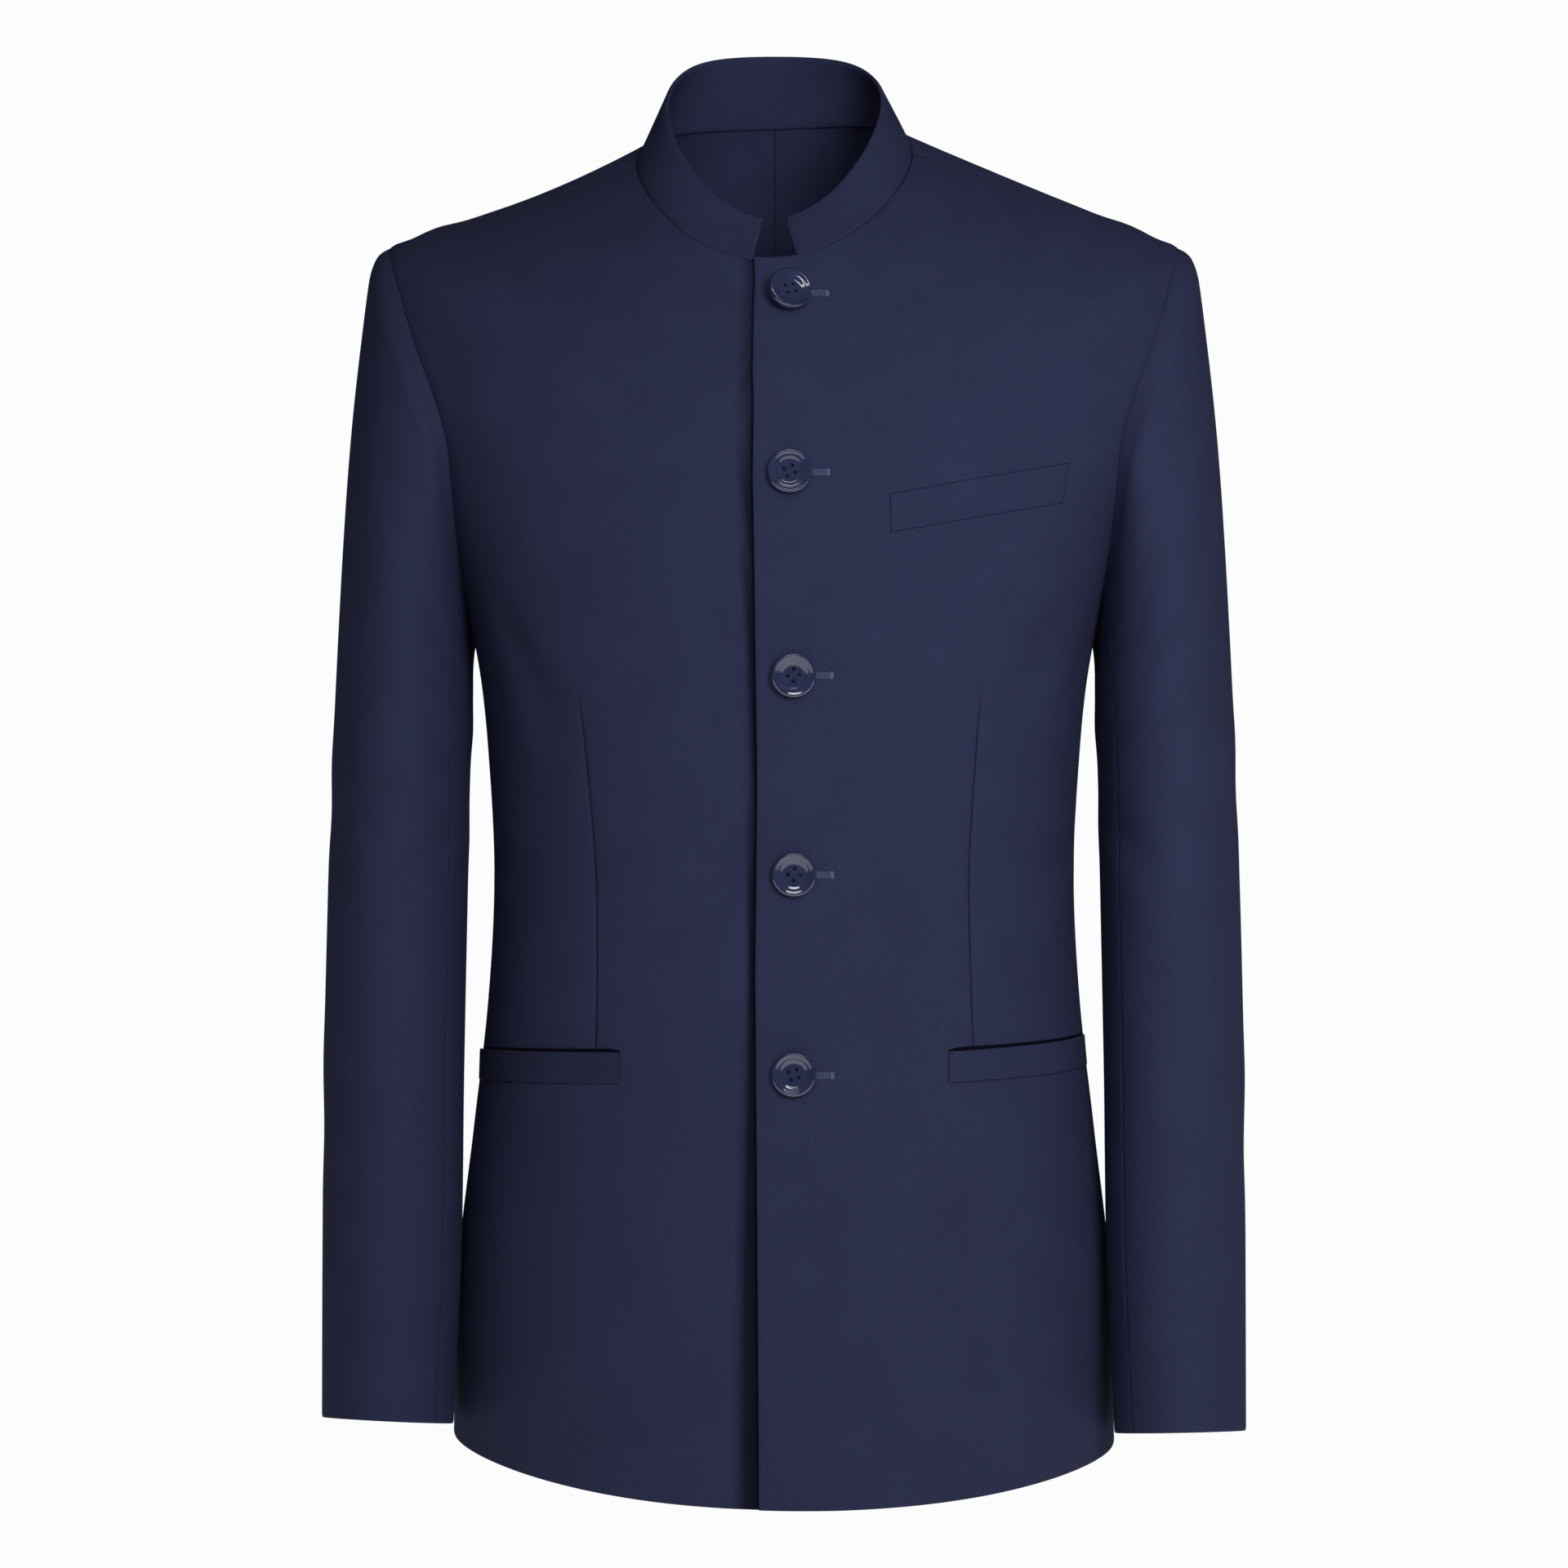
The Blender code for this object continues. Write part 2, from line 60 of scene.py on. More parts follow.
def add_node(tree, kind, inputs=(), **settings):
    """A node with its settings; inputs pairs a socket with a value, or with the socket that feeds it."""
    node = tree.nodes.new(kind)
    for name, value in settings.items():
        setattr(node, name, value)
    for socket, value in dict(inputs).items():
        if isinstance(value, bpy.types.NodeSocket):
            tree.links.new(value, node.inputs[socket])
        else:
            node.inputs[socket].default_value = value
    return node


def soft_light(name, place, aim, size, power, spread=180, height=None, gleams=False):
    """A round or oval softbox; a small spread is a grid on it, so that its light falls off beside its aim."""
    bpy.ops.object.light_add(type="AREA", location=place)
    lamp = bpy.context.object
    lamp.name = name
    lamp.data.shape = "ELLIPSE"
    lamp.data.size = size
    lamp.data.size_y = height or size
    lamp.data.energy = power
    lamp.data.spread = math.radians(spread)
    lamp.rotation_euler = (Vector(aim) - Vector(place)).to_track_quat("-Z", "Y").to_euler()
    lamp.visible_camera = False
    lamp.visible_glossy = gleams


# (name, place, aim, width, power) in metres and watts
soft_light("key_softbox", (0.9, -2.2, 0.3), (0.42, 0, -0.2), 1.1, 6.8, spread=60)
soft_light("fill_softbox", (-0.4, -2.7, 0.5), (0, 0, -0.3), 1.1, 11.5)
soft_light("strip_softbox", (0.15, -2.2, 1.75), (0, -0.13, -0.3), 2.2, 12, height=0.45, gleams=True)
soft_light("left_rim_softbox", (2.4, 2.0, 0.5), (0, 0, -0.35), 1.2, 18)
soft_light("right_rim_softbox", (-2.4, 2.0, 0.5), (0, 0, -0.35), 1.2, 18)
soft_light("back_softbox", (0.3, 3.2, 0.7), (0, 0, -0.35), 1.2, 36)

room = bpy.data.worlds.new("pale_room")
bpy.context.scene.world = room
room.use_nodes = True
room.node_tree.nodes.clear()
seen = add_node(room.node_tree, "ShaderNodeLightPath")
ROOM_GLOW = 0.007  # what the white room gives the cloth, beside the 1.0 that the camera sees of it
glow = add_node(
    room.node_tree, "ShaderNodeMix", data_type="FLOAT",
    inputs={0: seen.outputs["Is Camera Ray"], 2: ROOM_GLOW, 3: 1.0},
)
wall_light = add_node(
    room.node_tree, "ShaderNodeBackground", inputs={"Color": srgb("FCFCFD"), "Strength": glow.outputs[0]}
)
add_node(room.node_tree, "ShaderNodeOutputWorld", inputs={"Surface": wall_light.outputs[0]})

# matt white paper: no grain shows at this distance, only a slight unevenness
paper = bpy.data.materials.new("matt white background paper")
paper.use_nodes = True
tree = paper.node_tree
spot = add_node(tree, "ShaderNodeTexCoord")
cloud = add_node(tree, "ShaderNodeTexNoise", inputs={"Vector": spot.outputs["Object"], "Scale": 3.0})
tone = add_node(
    tree, "ShaderNodeMix", data_type="RGBA", inputs={0: cloud.outputs["Fac"], 6: srgb("F1F1F2"), 7: srgb("F6F6F5")}
)
shader = tree.nodes["Principled BSDF"]
tree.links.new(tone.outputs[2], shader.inputs["Base Color"])
shader.inputs["Roughness"].default_value = 0.9
shader.inputs["Emission Color"].default_value = srgb("F4F4F5")
shader.inputs["Emission Strength"].default_value = 0.35

FLOOR_MIDDLE = (0, -0.65, -0.95)
FLOOR_SIZE = (3.6, 3.4, 1)
bpy.ops.object.select_all(action="DESELECT")
bpy.ops.mesh.primitive_plane_add(size=1, location=FLOOR_MIDDLE)
floor = bpy.context.object
floor.name = "studio_floor"
floor.scale = FLOOR_SIZE
floor.data.materials.append(paper)


# Left and right fronts. Each is one panel of navy worsted from the closure to the side seam, cut with a long
# dart below the chest, pressed flat, and set into the armhole and along the shoulder. The left one laps over
# the right, so that its edge makes a small step down the middle with a soft valley beside it, darkened with painted
# shadow.
# the body's rings in millimetres: (station, or way up from the hem, half width, y at the side, in front and behind,
# z in front, at the side and behind, and how full the ring is in front, at the side and behind)
BODY = np.array([
    (0, 181.8, 0, -141, 128, -735, -710, -717, 0.61, 0.52, 0.64),
    (90, 179.5, 0, -138, 129, -631, -620, -624, 0.63, 0.58, 0.65),
    (170, 170.5, 0, -132, 123, -546, -540, -542, 0.64, 0.60, 0.66),
    (240, 162.8, 0, -127, 109, -473, -470, -471, 0.64, 0.60, 0.64),
    (310, 159.5, 0, -125, 98, -400, -400, -400, 0.63, 0.58, 0.62),
    (380, 163.0, 0, -129, 104, -330, -330, -328, 0.64, 0.60, 0.62),
    (425, 168.2, 2, -133, 112, -287, -285, -280, 0.64, 0.62, 0.62),
    (470, 178.0, 4, -135, 118, -250, -242, -236, 0.64, 0.62, 0.62),
    (550, 206.0, 7, -134, 121, -205, -160, -175, 0.62, 0.56, 0.61),
    (615, 228.0, 8, -130, 119, -168, -95, -128, 0.59, 0.46, 0.60),
    (655, 218.0, 9, -125, 113, -143, -54.5, -92, 0.57, 0.40, 0.58),
    (700, 175.0, 10, -117, 103, -118, -39.5, -56, 0.56, 0.46, 0.57),
    (745, 133.0, 11, -108, 91, -96, -25.5, -20, 0.555, 0.51, 0.56),
    (805, 76.0, 8, -96, 72, -69, -5, 18, 0.55, 0.56, 0.56),
])
NECK = 805.0  # stations of the neck's edge, the armhole's top and its lowest point
SHOULDER = 655.0
UNDERARM = 449.0
FRONT_SEAM, BACK_SEAM = 0.88, 1.34  # turns of the side panel's seams
SEAM_GAP = -0.1  # millimetres; below nothing, so that panels overlap and no light comes through
LAP_RISE = 1.3  # millimetres that the left front stands off, and the right one is let in
LAP_FADE = (26, 70)  # from the middle outwards, where that dies out
PRESS_DEPTH, PRESS_STATION, PRESS_LENGTH, PRESS_TURN = 3.4, 668, 11, 0.25  # the shoulder line by the armhole
ARMHOLE_FORWARD, ARMHOLE_SLANT, ARMHOLE_BACK, ARMHOLE_LOW = 0.345, 0.4, 0.35, 0.014  # in turns
CLOTH = 1.5  # millimetres, the folded and pressed edges being thicker than the worsted itself


def read_curves(table, at):
    """A table's columns at the ways asked for, as smooth curves through its rows."""
    way, values = table[:, 0], table[:, 1:]
    slopes = np.empty_like(values)
    slopes[1:-1] = (values[2:] - values[:-2]) / (way[2:] - way[:-2])[:, None]
    slopes[0] = (values[1] - values[0]) / (way[1] - way[0])
    slopes[-1] = (values[-1] - values[-2]) / (way[-1] - way[-2])
    i = np.clip(np.searchsorted(way, at, side="right") - 1, 0, len(way) - 2)
    span = (way[i + 1] - way[i])[..., None]
    t = (at - way[i])[..., None] / span
    start, end = values[i], values[i + 1]
    return (
        start * (2 * t**3 - 3 * t**2 + 1)
        + slopes[i] * span * (t**3 - 2 * t**2 + t)
        + end * (3 * t**2 - 2 * t**3)
        + slopes[i + 1] * span * (t**3 - t**2)
    )


def ring(sizes, turn):
    """Points on rings round the body: turn 0 is centre front, 1 the side and 2 centre back."""
    wide, side_y, front_y, back_y, *heights_and_fullness = np.moveaxis(sizes, -1, 0)
    front_z, side_z, back_z, front_full, side_full, back_full = heights_and_fullness
    place = np.abs(turn)
    part = np.abs(place - 1)
    full = np.where(place <= 1, front_full, back_full)
    depth = np.where(place <= 1, front_y, back_y) - side_y
    x = wide * (1 - part) ** 3 + 3 * wide * part * (1 - part) ** 2 + 3 * full * wide * part**2 * (1 - part)
    y = side_y + depth * (3 * side_full * part * (1 - part) ** 2 + 3 * part**2 * (1 - part) + part**3)
    middle = (front_z + back_z) / 4 + side_z / 2
    angle = place * math.pi / 2
    z = middle + (front_z - back_z) / 2 * np.cos(angle) + (middle - side_z) * np.cos(2 * angle)
    return np.stack([np.where(turn < 0, -x, x), y, z], axis=-1)


def body(turn, station):
    """A point of the body, whose shoulder line is pressed straight where it nears the armhole."""
    point = ring(read_curves(BODY, station), turn)
    along, around = (station - PRESS_STATION) / PRESS_LENGTH, (np.abs(turn) - 1) / PRESS_TURN
    point[..., 2] -= PRESS_DEPTH * np.exp(-(along**2) - around**2)
    return point


def outward(surface, place, way, step, reach, last):
    """The outward direction of a surface, from points just round each one."""
    round_it = surface(place + step, way) - surface(place - step, way)
    up_it = surface(place, np.minimum(way + reach, last)) - surface(place, np.maximum(way - reach, 0))
    normal = np.cross(round_it, up_it)
    return normal / np.linalg.norm(normal, axis=-1, keepdims=True)


def off_body(turn, station):
    """The body's outward direction."""
    return outward(body, turn, station, 0.004, 1.0, NECK)


def smooth_step(value, low, high):
    """From 0 at low to 1 at high, starting and ending gently."""
    t = np.clip((value - low) / (high - low), 0, 1)
    return t * t * (3 - 2 * t)


def lap_lift(points, rise):
    """How far a front is lifted off the body near the middle, where one front laps over the other."""
    return rise * (1 - smooth_step(np.abs(points[..., 0]), *LAP_FADE))


def front_place(across, height):
    """Where a front is this far across and at this height, as (turn, station), by Newton's steps from a guess."""
    across, height = np.asarray(across, float), np.asarray(height, float)
    turn, station = across / 330, (height + 733) * 0.98
    turn_by, way_by = 0.001, 0.1
    for _ in range(30):
        miss = body(turn, station)[..., ::2] - np.stack([across, height], axis=-1)
        by_turn = (body(turn + turn_by, station) - body(turn, station))[..., ::2] / turn_by
        by_way = (body(turn, station + way_by) - body(turn, station))[..., ::2] / way_by
        spread = by_turn[..., 0] * by_way[..., 1] - by_turn[..., 1] * by_way[..., 0]
        turn_step = (miss[..., 0] * by_way[..., 1] - miss[..., 1] * by_way[..., 0]) / spread
        way_step = (by_turn[..., 0] * miss[..., 1] - by_turn[..., 1] * miss[..., 0]) / spread
        turn = turn - np.clip(turn_step, -0.1, 0.1)
        station = station - np.clip(way_step, -20, 20)
    return turn, station


def armhole(clock):
    """The armhole's edge as (turn, station), its clock being 0 at the shoulder and 90 in front."""
    angle = np.radians(clock)
    forward = ARMHOLE_FORWARD * (1 + ARMHOLE_SLANT * np.cos(angle))
    reach = np.where(np.sin(angle) > 0, forward, ARMHOLE_BACK)
    turn = 1 - reach * np.sin(angle) + ARMHOLE_LOW * (1 - np.cos(angle))
    return turn, (SHOULDER + UNDERARM) / 2 + (SHOULDER - UNDERARM) / 2 * np.cos(angle)


def clock_at(seam, low, high):
    """The armhole's clock, between two others, at which it meets a seam of the side panel."""
    clocks = np.linspace(low, high, 20001)
    return clocks[np.argmin(np.abs(armhole(clocks)[0] - seam))]


FRONT_CLOCK = clock_at(FRONT_SEAM, 100, 178)
BACK_CLOCK = clock_at(BACK_SEAM, 182, 260)

# from a panel's edge inwards, in millimetres, close together so that the edge rolls under
EDGE = np.array([0, 0.25, 0.6, 1.1, 1.9, 3.2])
INNER = 6  # millimetres from the edge, where the even marks start


def edged(length, *inner):
    """Marks from 0 to a length, close together at both ends, with the inner ones between."""
    return np.concatenate([EDGE, *inner, length - EDGE[::-1]])


def upright_ways(seam_top, seam_clock, end_clock):
    """The stations of a panel's rows: up the side seam, round the armhole and along the shoulder."""
    up_seam = np.linspace(INNER, seam_top, 98)[:-1]
    round_armhole = armhole(np.linspace(seam_clock, end_clock, 68))[1]
    along_shoulder = np.linspace(SHOULDER, NECK - INNER, 34)[1:]
    return edged(NECK, up_seam, round_armhole, along_shoulder)


def outer_edge(stations, seam, seam_top, seam_clock, end_clock, side):
    """The turn at which each row of a front or back ends, moved off the seam by half its gap."""
    low_clocks = np.linspace(seam_clock, end_clock, 4001)
    hole_turns, hole_ways = armhole(low_clocks)
    turns = np.where(stations < seam_top, seam, 1.0)
    in_hole = (stations >= seam_top) & (stations < SHOULDER)
    turns = np.where(in_hole, np.interp(stations, hole_ways, hole_turns), turns)
    speed = np.linalg.norm(body(turns + 0.01, stations) - body(turns - 0.01, stations), axis=-1) / 0.02
    return turns + np.where(in_hole, 0, side * SEAM_GAP / 2 / speed)


def lay_out(surface, starts, ends, ways, marks):
    """A grid on a surface: in each row, points lie as many millimetres from its start as marks() says."""
    shares = np.linspace(0, 1, 65)
    coarse = starts[:, None] + (ends - starts)[:, None] * shares
    rows = surface(coarse, np.repeat(ways[:, None], len(shares), axis=1))
    arcs = np.cumsum(np.linalg.norm(np.diff(rows, axis=1, prepend=rows[:, :1]), axis=2), axis=1)
    wanted = np.array([marks(arc, places, way) for arc, places, way in zip(arcs, coarse, ways)])
    places = np.array([np.interp(mark, arc, place) for mark, arc, place in zip(wanted, arcs, coarse)])
    return places, np.repeat(ways[:, None], wanted.shape[1], axis=1), wanted


def even_marks(count):
    """A marks function for lay_out, with this many even marks inside the edges' close ones."""
    def marks(arc, places, way):
        return edged(arc[-1], np.linspace(INNER, arc[-1] - INNER, count))

    return marks


def troughs(creases, across, along):
    """How deep soft creases press the cloth in. Each has two ends, a bow, a width and a depth.
    It widens along its run, fades out a little past its ends, and lifts the cloth slightly beside it."""
    depth = np.zeros(across.shape)
    for x0, y0, x1, y1, bow, width, deep in creases:
        run = math.hypot(x1 - x0, y1 - y0)
        one_x, one_y = (x1 - x0) / run, (y1 - y0) / run
        share = ((across - x0) * one_x + (along - y0) * one_y) / run
        off = (along - y0) * one_x - (across - x0) * one_y - bow * 4 * share * (1 - share)
        wide = width * (0.8 + 0.4 * np.clip(share, 0, 1))
        fade = np.sin(np.pi * np.clip((share + 0.15) / 1.3, 0, 1)) ** 2
        fold = np.exp(-((off / wide) ** 2)) - 0.4 * np.exp(-(((np.abs(off) - 1.8 * wide) / wide) ** 2))
        depth += deep * fold * fade
    return depth


TURN_LENGTH = 225  # millimetres that stand for a turn in the creases' table
CALM_EDGE = (2, 24)  # millimetres from the armhole, over which the creases come in

# (turn, station) of both ends as millimetres, the wearer's right side negative, then bow, width and depth
BODY_CREASES = (
    (150, 470, 95, 380, 6, 14, 1.6),
    (-150, 468, -100, 372, -6, 13, 1.8),
    (300, 470, 365, 360, 8, 16, 1.8),
    (-300, 466, -370, 372, -8, 15, 1.6),
    (215, 330, 130, 316, 5, 11, 1.3),
    (-210, 322, -118, 312, -5, 12, 1.4),
    (232, 300, 350, 318, 6, 12, 1.4),
    (-236, 306, -345, 300, 5, 12, 1.4),
    (20, 258, 96, 236, 6, 13, 0.8),
    (-34, 262, -100, 244, -5, 13, 0.8),
    (158, 575, 128, 640, 6, 15, 1.5),
    (-158, 580, -126, 642, -6, 15, 1.5),
    (345, 600, 400, 520, -6, 18, 1.4),
    (-348, 604, -398, 515, 6, 18, 1.4),
    (250, 40, 262, 230, 8, 26, 2.2),
    (-246, 30, -262, 236, -8, 24, 2.2),
    (330, 20, 338, 180, 6, 26, 1.8),
    (-334, 24, -340, 190, -6, 26, 1.8),
)
# (height, the left edge's distance past centre front, the valley's width, and the painted shadow beside it, standing
# for the shade under the lap)
CLOSURE = np.array([
    (-735, 13.4, 13.5, 0.95),
    (-692, 13.6, 13.0, 0.95),
    (-584, 14.5, 10.4, 0.93),
    (-455, 15.6, 4.8, 0.95),
    (-351, 14.5, 5.2, 0.93),
    (-239, 16.0, 6.7, 0.85),
    (-187, 16.9, 7.4, 0.8),
    (-131, 15.8, 7.4, 0.6),
    (-80, 11.0, 7.4, 0.5),
])
VALLEY_DEPTH = 1.3
VALLEY_SIDE = (0.4, 1.15)  # shares of its width, over which the valley comes back up
VALLEY_START = (-10, 5)  # millimetres past centre front, well under the left front

LEAN = 5.2  # millimetres that the upper front leans over as the jacket is dressed
LEAN_HEIGHTS = (-160, -60)  # between which it comes in
LEAN_REACH = (76, 218)  # from the middle outwards, where the lean dies out


def body_relief(turn, station, side):
    """How far the body's cloth is pressed in by its creases, which die out where it is sewn to the sleeve."""
    hole = np.stack(armhole(np.arange(0, 360, 3)), axis=-1) * (TURN_LENGTH, 1)
    place = np.stack([turn * TURN_LENGTH, station], axis=-1)
    apart = np.sqrt(((place[..., None, :] - hole) ** 2).sum(axis=-1)).min(axis=-1)
    return troughs(BODY_CREASES, turn * side * TURN_LENGTH, station) * smooth_step(apart, *CALM_EDGE)


def dressed(points, side):
    """Where points of the left side's shape lie as the jacket is dressed, mirrored for the right.
    The upper front leans to the wearer's right, and the neck and the hem each slope a little across."""
    x, y, z = points[..., 0] * side, points[..., 1], points[..., 2]
    share = (1 - smooth_step(np.abs(x), *LEAN_REACH)) * smooth_step(z, *LEAN_HEIGHTS)
    neck_slope, hem_slope = 0.042, 0.015
    roll = neck_slope * share * (1 - smooth_step(z, 5, 60)) - hem_slope * smooth_step(-z, 500, 720)
    return np.stack([x - LEAN * share, y, z + roll * x], axis=-1)


def line_distance(points, line):
    """How far each point of a grid is from a line of points."""
    start, run = line[:-1], np.diff(line, axis=0)
    square = np.maximum((run**2).sum(axis=1), 1e-9)
    distance = np.empty(points.shape[:2])
    for i, row in enumerate(points):
        share = np.clip(((row[:, None] - start) * run).sum(axis=2) / square, 0, 1)
        distance[i] = np.sqrt((((start + run * share[..., None]) - row[:, None]) ** 2).sum(axis=2)).min(axis=1)
    return distance


SEAM_PAINTED_SHADE, PAINTED_SHADE_WIDE = 0.5, 0.7  # the painted shade in a seam's ditch, and its half width in millimetres


def sew_panel(
    name, points, normals, flat_places, material, seams, side=1, painted_shade=0,
    wall=CLOTH, roll=0.5, under_roll=0.1, reach=1.9,
):
    """A panel as a thin closed shell: its outside, its inside and its edge, whose corners roll in.
    Along the seams, named as sides of the grid, a dark ditch of painted shade is added to the painted shade passed
    in."""
    sides = {"low": points[0], "high": points[-1], "start": points[:, 0], "end": points[:, -1]}
    apart = {word: line_distance(points, line) for word, line in sides.items()}
    closeness = np.clip(1 - np.min(list(apart.values()), axis=0) / reach, 0, 1)[..., None] ** 2
    outside = points - normals * roll * closeness
    inside = points - normals * (wall - under_roll * closeness)
    for word in seams:
        painted_shade = np.maximum(painted_shade, SEAM_PAINTED_SHADE * np.clip(1.2 - apart[word] / PAINTED_SHADE_WIDE, 0, 1))
    height, width = points.shape[:2]
    shell = dressed(np.stack([outside, inside]), side).reshape(-1, 3) * 0.001
    at = np.arange(height * width).reshape(height, width)
    quads = np.stack([at[:-1, :-1], at[:-1, 1:], at[1:, 1:], at[1:, :-1]], axis=-1).reshape(-1, 4)
    border = np.concatenate([at[0], at[1:, -1], at[-1, -2::-1], at[-2::-1, 0]])
    here, after, inner = border[:-1], border[1:], height * width
    band = np.stack([after, here, inner + here, inner + after], axis=-1)
    faces = np.concatenate([quads, inner + quads[:, ::-1], band])
    if side < 0:
        faces = faces[:, ::-1]
    mesh = bpy.data.meshes.new(name)
    mesh.from_pydata(shell.tolist(), [], faces.tolist())
    cut = np.tile(flat_places.reshape(-1, 2), (2, 1)) * 0.001
    weave_map = mesh.uv_layers.new(name="cloth in metres")
    weave_map.data.foreach_set("uv", cut[faces.reshape(-1)].reshape(-1).astype(np.float32))
    # the painted shade, kept per point for the cloth's colour
    shade = mesh.attributes.new("painted_shade", "FLOAT", "POINT")
    shade.data.foreach_set("value", np.tile((np.zeros((height, width)) + painted_shade).reshape(-1), 2).astype(np.float32))
    mesh.materials.append(material)
    mesh.shade_smooth()
    panel = bpy.data.objects.new(name, mesh)
    bpy.context.collection.objects.link(panel)
    return panel


def weave_worsted(name, dark, light):
    """Navy worsted: a fine pressed twill of combed wool, matt, with a faint sheen where it turns away."""
    cloth = bpy.data.materials.new(name)
    cloth.use_nodes = True
    tree = cloth.node_tree
    shader = tree.nodes["Principled BSDF"]
    shader.inputs["Roughness"].default_value = 0.78
    shader.inputs["Specular IOR Level"].default_value = 0.12
    shader.inputs["Sheen Weight"].default_value = 0.02
    shader.inputs["Sheen Roughness"].default_value = 0.5
    shader.inputs["Sheen Tint"].default_value = srgb("8A8EB4")
    cut = add_node(tree, "ShaderNodeUVMap", uv_map="cloth in metres")
    # twill of 0.45 mm, drawn at 1.3 mm so that it shows at the photograph's distance: 2 pi / (20 x 240) m
    turned = add_node(
        tree, "ShaderNodeMapping", inputs={"Vector": cut.outputs[0], "Rotation": (0, 0, math.radians(27))}
    )
    twill = add_node(
        tree, "ShaderNodeTexWave", bands_direction="X", wave_profile="SIN",
        inputs={
            "Vector": turned.outputs[0], "Scale": 240.0, "Distortion": 1.2, "Detail": 2.0, "Detail Scale": 2.0,
        },
    )
    fibre = add_node(
        tree, "ShaderNodeTexNoise",
        inputs={"Vector": cut.outputs[0], "Scale": 900.0, "Detail": 3.0, "Roughness": 0.6},
    )
    cloud = add_node(
        tree, "ShaderNodeTexNoise", inputs={"Vector": cut.outputs[0], "Scale": 26.0, "Detail": 4.0, "Roughness": 0.55}
    )
    yarn = add_node(tree, "ShaderNodeMath", operation="MULTIPLY", inputs={0: twill.outputs["Fac"], 1: 0.45})
    mixed = add_node(
        tree, "ShaderNodeMath", operation="MULTIPLY_ADD",
        inputs={0: fibre.outputs["Fac"], 1: 0.55, 2: yarn.outputs[0]},
    )
    tinted = add_node(
        tree, "ShaderNodeMath", operation="MULTIPLY_ADD",
        inputs={0: cloud.outputs["Fac"], 1: 0.5, 2: mixed.outputs[0]},
    )
    # slubs 1 to 2 mm long: thicker yarns, painted lighter as a highlight where they catch the light
    drawn_out = add_node(tree, "ShaderNodeMapping", inputs={"Vector": turned.outputs[0], "Scale": (1.0, 0.45, 1.0)})
    knots = add_node(
        tree, "ShaderNodeTexNoise", inputs={"Vector": drawn_out.outputs[0], "Scale": 620.0, "Detail": 1.0}
    )
    slub_highlight = add_node(tree, "ShaderNodeMapRange", inputs={0: knots.outputs["Fac"], 1: 0.62, 2: 0.78, 4: 0.5})
    yarns = add_node(tree, "ShaderNodeMath", operation="ADD", inputs={0: tinted.outputs[0], 1: slub_highlight.outputs[0]})
    ramp = add_node(tree, "ShaderNodeMapRange", inputs={0: yarns.outputs[0], 1: 0.35, 2: 1.15})
    shade = add_node(
        tree, "ShaderNodeMix", data_type="RGBA", inputs={0: ramp.outputs[0], 6: srgb(dark), 7: srgb(light)}
    )
    # painted shade: the colour is darkened toward near-black by the shade stored on the panel, in the seams' ditches,
    # along the darts, beside the closure and over the right hip welt
    painted_shade = add_node(tree, "ShaderNodeAttribute", attribute_name="painted_shade")
    depth = add_node(tree, "ShaderNodeMath", operation="MULTIPLY", inputs={0: painted_shade.outputs["Fac"], 1: 0.93})
    shaded = add_node(
        tree, "ShaderNodeMix", data_type="RGBA",
        inputs={0: depth.outputs[0], 6: shade.outputs[2], 7: srgb("05050F")},
    )
    tree.links.new(shaded.outputs[2], shader.inputs["Base Color"])
    relief = add_node(
        tree, "ShaderNodeBump", inputs={"Height": mixed.outputs[0], "Strength": 0.25, "Distance": 0.0005}
    )
    tree.links.new(relief.outputs[0], shader.inputs["Normal"])
    return cloth


worsted = weave_worsted("navy worsted twill", "23253D", "2F324E")


def finish_cloth(panel, node, flat, area):
    """Carries a panel on the root body and hides the node it stands for.
    Its cut size, whose width and length are estimates, and its area, set from the mesh, are not used."""
    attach(panel, "root")
    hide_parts(node)


LEFT_LAP = CLOSURE[:, 1]
RIGHT_LAP = 24.0  # millimetres that the right front runs on past centre front, under the left
NECK_LAP, NECK_LAP_START = 11, 760  # the lap at the neck, and the station from which it narrows to that
CUT_TURN = 300  # millimetres to a turn, which keeps the weave straight along the free edge
DART_COLUMN = 44  # the grid's column on the dart's line, with closer ones on both sides of it
DART_MARKS = np.array([-3, -1.6, -0.8, -0.35, 0, 0.35, 0.8, 1.6, 3])
DART_TUCK, DART_HOLLOW, DART_PAINTED_SHADE = 0.75, 0.35, 0.75  # its line's depth, the hollow's round it, and the painted shade along its line
